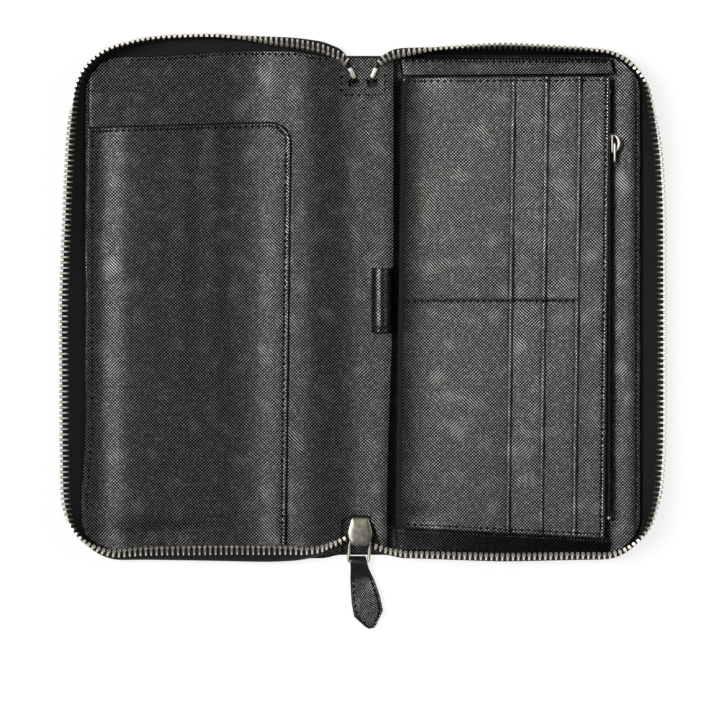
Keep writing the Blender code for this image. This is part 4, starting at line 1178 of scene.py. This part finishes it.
def stitches(*columns):
    """Threads along a path at an even pitch: each a short arch that dips into the leather."""
    path = spread(*columns)
    along = runs(path, 0)
    count = max(1, int(along[-1] / size("stitch_pitch")))
    marks = (np.arange(count) + 0.5) * along[-1] / count
    way = unit(read(marks, along, np.gradient(path, along, axis=0)))
    side = unit(np.cross(UP, way))
    turn = np.arange(6) * math.pi / 3
    half, radius = size("stitch_length") / 2, size("thread") / 2
    profile = ((-1, 0.45, -0.30), (-0.72, 0.9, -0.06), (0, 1.0, 0.06), (0.72, 0.9, -0.06), (1, 0.45, -0.30))
    rings = np.stack([spread(a * half, radius * r * np.cos(turn), lift + radius * r * np.sin(turn))
                      for a, r, lift in profile])
    return repeated(*capped(rings), read(marks, along, path), way, side, np.cross(way, side))


def pocket_rows():
    """Stitches round the slip pocket, up its fore edge and along the lining's upper edge."""
    thick, inset = size("panel"), 1.6
    edge, top, radius = POCKET_EDGE - inset, POCKET_TOP - inset, POCKET_CORNER - inset
    turn = np.linspace(0, math.pi / 2, 20)
    x = np.concatenate([np.linspace(-112.0, edge - radius, 60), edge - radius + radius * np.sin(turn),
                        np.full(90, edge)])
    y = np.concatenate([np.full(60, top), top - radius + radius * np.cos(turn),
                        np.linspace(top - radius, -100.4, 90)])
    y = y + pocket_slant(x) * step_up(y, 40.0, 70.0)
    x = x + pocket_lean(y) * step_up(x, -113.0, -31.0)
    rim_y = np.linspace(-84.0, 71.0, 90)
    rim_x = -111.2 + lining_flare(-111.2, rim_y)
    brow = np.linspace(-96.0, -14.0, 90)
    high = cover_half(-brow, size("lining_inset"), 0.4, 0.4)[0] + lining_bow(brow) - inset
    return joined(stitches(x, y, lining_top(x) + pocket_rise(x, y) + thick),
                  stitches(rim_x, rim_y, lining_top(rim_x) + pocket_rise(rim_x, rim_y) + thick - 0.12),
                  stitches(brow, high, lining_top(brow) - 0.02))


def card_rows():
    """Stitches round the card panels on three sides and across their middle."""
    end = POUCH_HALF - 1.9
    across, along = np.linspace(5.5, 85.6, 120), np.linspace(POUCH_HALF - 3, 3 - POUCH_HALF, 160)
    rows = []
    for u, y in ((across, end), (np.full(160, 85.4), along), (across[::-1], -end),
                 (np.linspace(4.5, 74.4, 90), SEAM_Y)):
        w = card_stack(u) + card_swell(u, y) - card_dip(u, y) - 0.02
        rows.append(stitches(*card_spot(u, y, w).T))
    return joined(*rows)


def right_rows():
    """Stitches along the right lining's fore edge and the two gussets."""
    edge = size("cover_reach") - size("lining_inset") - 1.5
    share = np.linspace(0.02, 0.98, 60)
    x, slant = GUSSET_X + GUSSET_LENGTH * share, GUSSET_SLANT * share
    return joined(stitches(edge, np.linspace(-84.0, 84.0, 80), lining_top(edge)),
                  stitches(x, 100.1 - slant, 4.7 + 6.6 * share), stitches(x, -100.4 - slant, 4.5))


def tab_rows():
    """Stitches along the tab's two sides."""
    total = size("tab_length")
    along = np.concatenate([np.linspace(6.0, 0.79 * total, 40), np.linspace(0.79 * total, 0.93 * total, 8)])
    inner = 1 - 2.6 / tab_width(along)
    return joined(*(stitches(*tab_spot(along, side * inner, 1.84).T) for side in SIDES))


def spine_row():
    """The path sewn round the two slots at the spine's upper end."""
    half, low, high, bow = 9.0, 86.2, 95.0, 2.5
    turn = np.linspace(0, math.pi / 2, 10)
    x = np.concatenate([np.full(10, -half), bow - half - bow * np.cos(turn), half - bow + bow * np.sin(turn),
                        np.full(10, half)])
    y = low + bow - bow * np.concatenate([np.sin(turn), np.cos(turn)])
    side = np.linspace(high, low + bow, 10)
    return resampled(spread(x, np.concatenate([side, y, side[::-1]])), 0.5)


class Stitching(bpy.types.Operator):
    """The rows of stitches on pocket, card panels, gussets, lining, spine ends and tab"""

    bl_idname = "organizer.stitching"
    bl_label = "Stitching"

    def execute(self, context):
        thread = "waxed_thread"
        for name, rows, body in (("pocket_stitches", pocket_rows(), "left_cover"),
                                 ("card_stitches", card_rows(), "card_pouch"),
                                 ("right_stitches", right_rows(), "right_cover")):
            settle(piece(name, rows, thread), "leather", body)
        path = spine_row()
        for side, name in SIDES.items():
            x, y = path[path[:, 0] * side >= 0].T
            item = piece(name + "_spine_stitches", stitches(x, y, lining_top(x) + 0.02), thread)
            bend(item, "leather", side, across=LINING_BEND)
        settle(piece("tab_stitches", tab_rows(), thread), "leather", "pull_tab")
        return {"FINISHED"}


# Stage ------------------------------------------------------------------------------------


def lamp(name, place, aim, width, height, power):
    """A rectangular soft light aimed at a point, all in metres."""
    data = bpy.data.lights.new(name, "AREA")
    data.shape, data.size, data.size_y, data.energy = "RECTANGLE", width, height, power
    item = bpy.data.objects.new(name, data)
    gap = np.array(aim) - np.array(place)
    item.location = place
    item.rotation_euler = (math.atan2(math.hypot(gap[0], gap[1]), -gap[2]), 0.0,
                           math.atan2(gap[1], gap[0]) - math.pi / 2)
    bpy.context.scene.collection.objects.link(item)


class Stage(bpy.types.Operator):
    """The pale floor, soft lights, world and the camera straight above"""

    bl_idname = "organizer.stage"
    bl_label = "Stage"

    def execute(self, context):
        scene = context.scene
        scene.view_settings.view_transform = "Standard"
        span = np.linspace(-2500.0, 2500.0, 9)
        piece("floor", sheet(spread(span[:, None], span, -1.0), 1.6, 0.5), "studio_floor")
        lamp("window_left", (-4.5, 1.0, 7.8), (0.0, -0.01, 0.0), 1.8, 6.0, 570.0)
        lamp("fill_right", (2.2, 0.6, 1.8), (0.05, 0.0, 0.0), 1.4, 2.0, 14.0)
        scene.world = bpy.data.worlds.new("studio")
        scene.world.use_nodes = True
        sky = scene.world.node_tree.nodes["Background"].inputs
        sky["Color"].default_value, sky["Strength"].default_value = (1, 1, 1, 1), 0.16
        distance, field, sensor = 2.395, 0.2952, 36.0
        data = bpy.data.cameras.new("camera")
        data.lens, data.sensor_width, data.clip_end = sensor * distance / field, sensor, 10.0
        camera = bpy.data.objects.new("camera", data)
        camera.location = (-0.00123, -0.02255, 2.4)
        scene.collection.objects.link(camera)
        scene.camera = camera
        return {"FINISHED"}


OPERATORS = (OuterLeather, Linings, ZipTapes, ZipTeeth, SlipPocket, CardPouch, PenLoop, Slider, Pull,
             InnerZip, Stitching, Stage)


class OrganizerPanel(bpy.types.Panel):
    """Lists the organizer's sizes, colours and pieces"""

    bl_idname = "VIEW3D_PT_organizer"
    bl_label = "Travel organizer"
    bl_space_type = "VIEW_3D"
    bl_region_type = "UI"
    bl_category = "Organizer"

    def draw(self, context):
        for group in (context.scene.organizer_sizes, context.scene.organizer_colours):
            for name in type(group).__annotations__:
                self.layout.prop(group, name)
        for operator in OPERATORS:
            self.layout.operator(operator.bl_idname)


CLASSES = (OrganizerSizes, OrganizerColours, *OPERATORS, OrganizerPanel)


def register():
    """Register the classes and hang the sizes and colours on the scene."""
    for item in CLASSES:
        bpy.utils.register_class(item)
    bpy.types.Scene.organizer_sizes = bpy.props.PointerProperty(type=OrganizerSizes)
    bpy.types.Scene.organizer_colours = bpy.props.PointerProperty(type=OrganizerColours)


def unregister():
    """Take the classes and the scene's groups away again."""
    del bpy.types.Scene.organizer_sizes, bpy.types.Scene.organizer_colours
    for item in reversed(CLASSES):
        bpy.utils.unregister_class(item)


def main():
    """Register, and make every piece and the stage."""
    register()
    made = bpy.ops.organizer
    for operator in OPERATORS:
        getattr(made, operator.bl_idname.split(".")[1])()


if __name__ == "__main__":
    main()
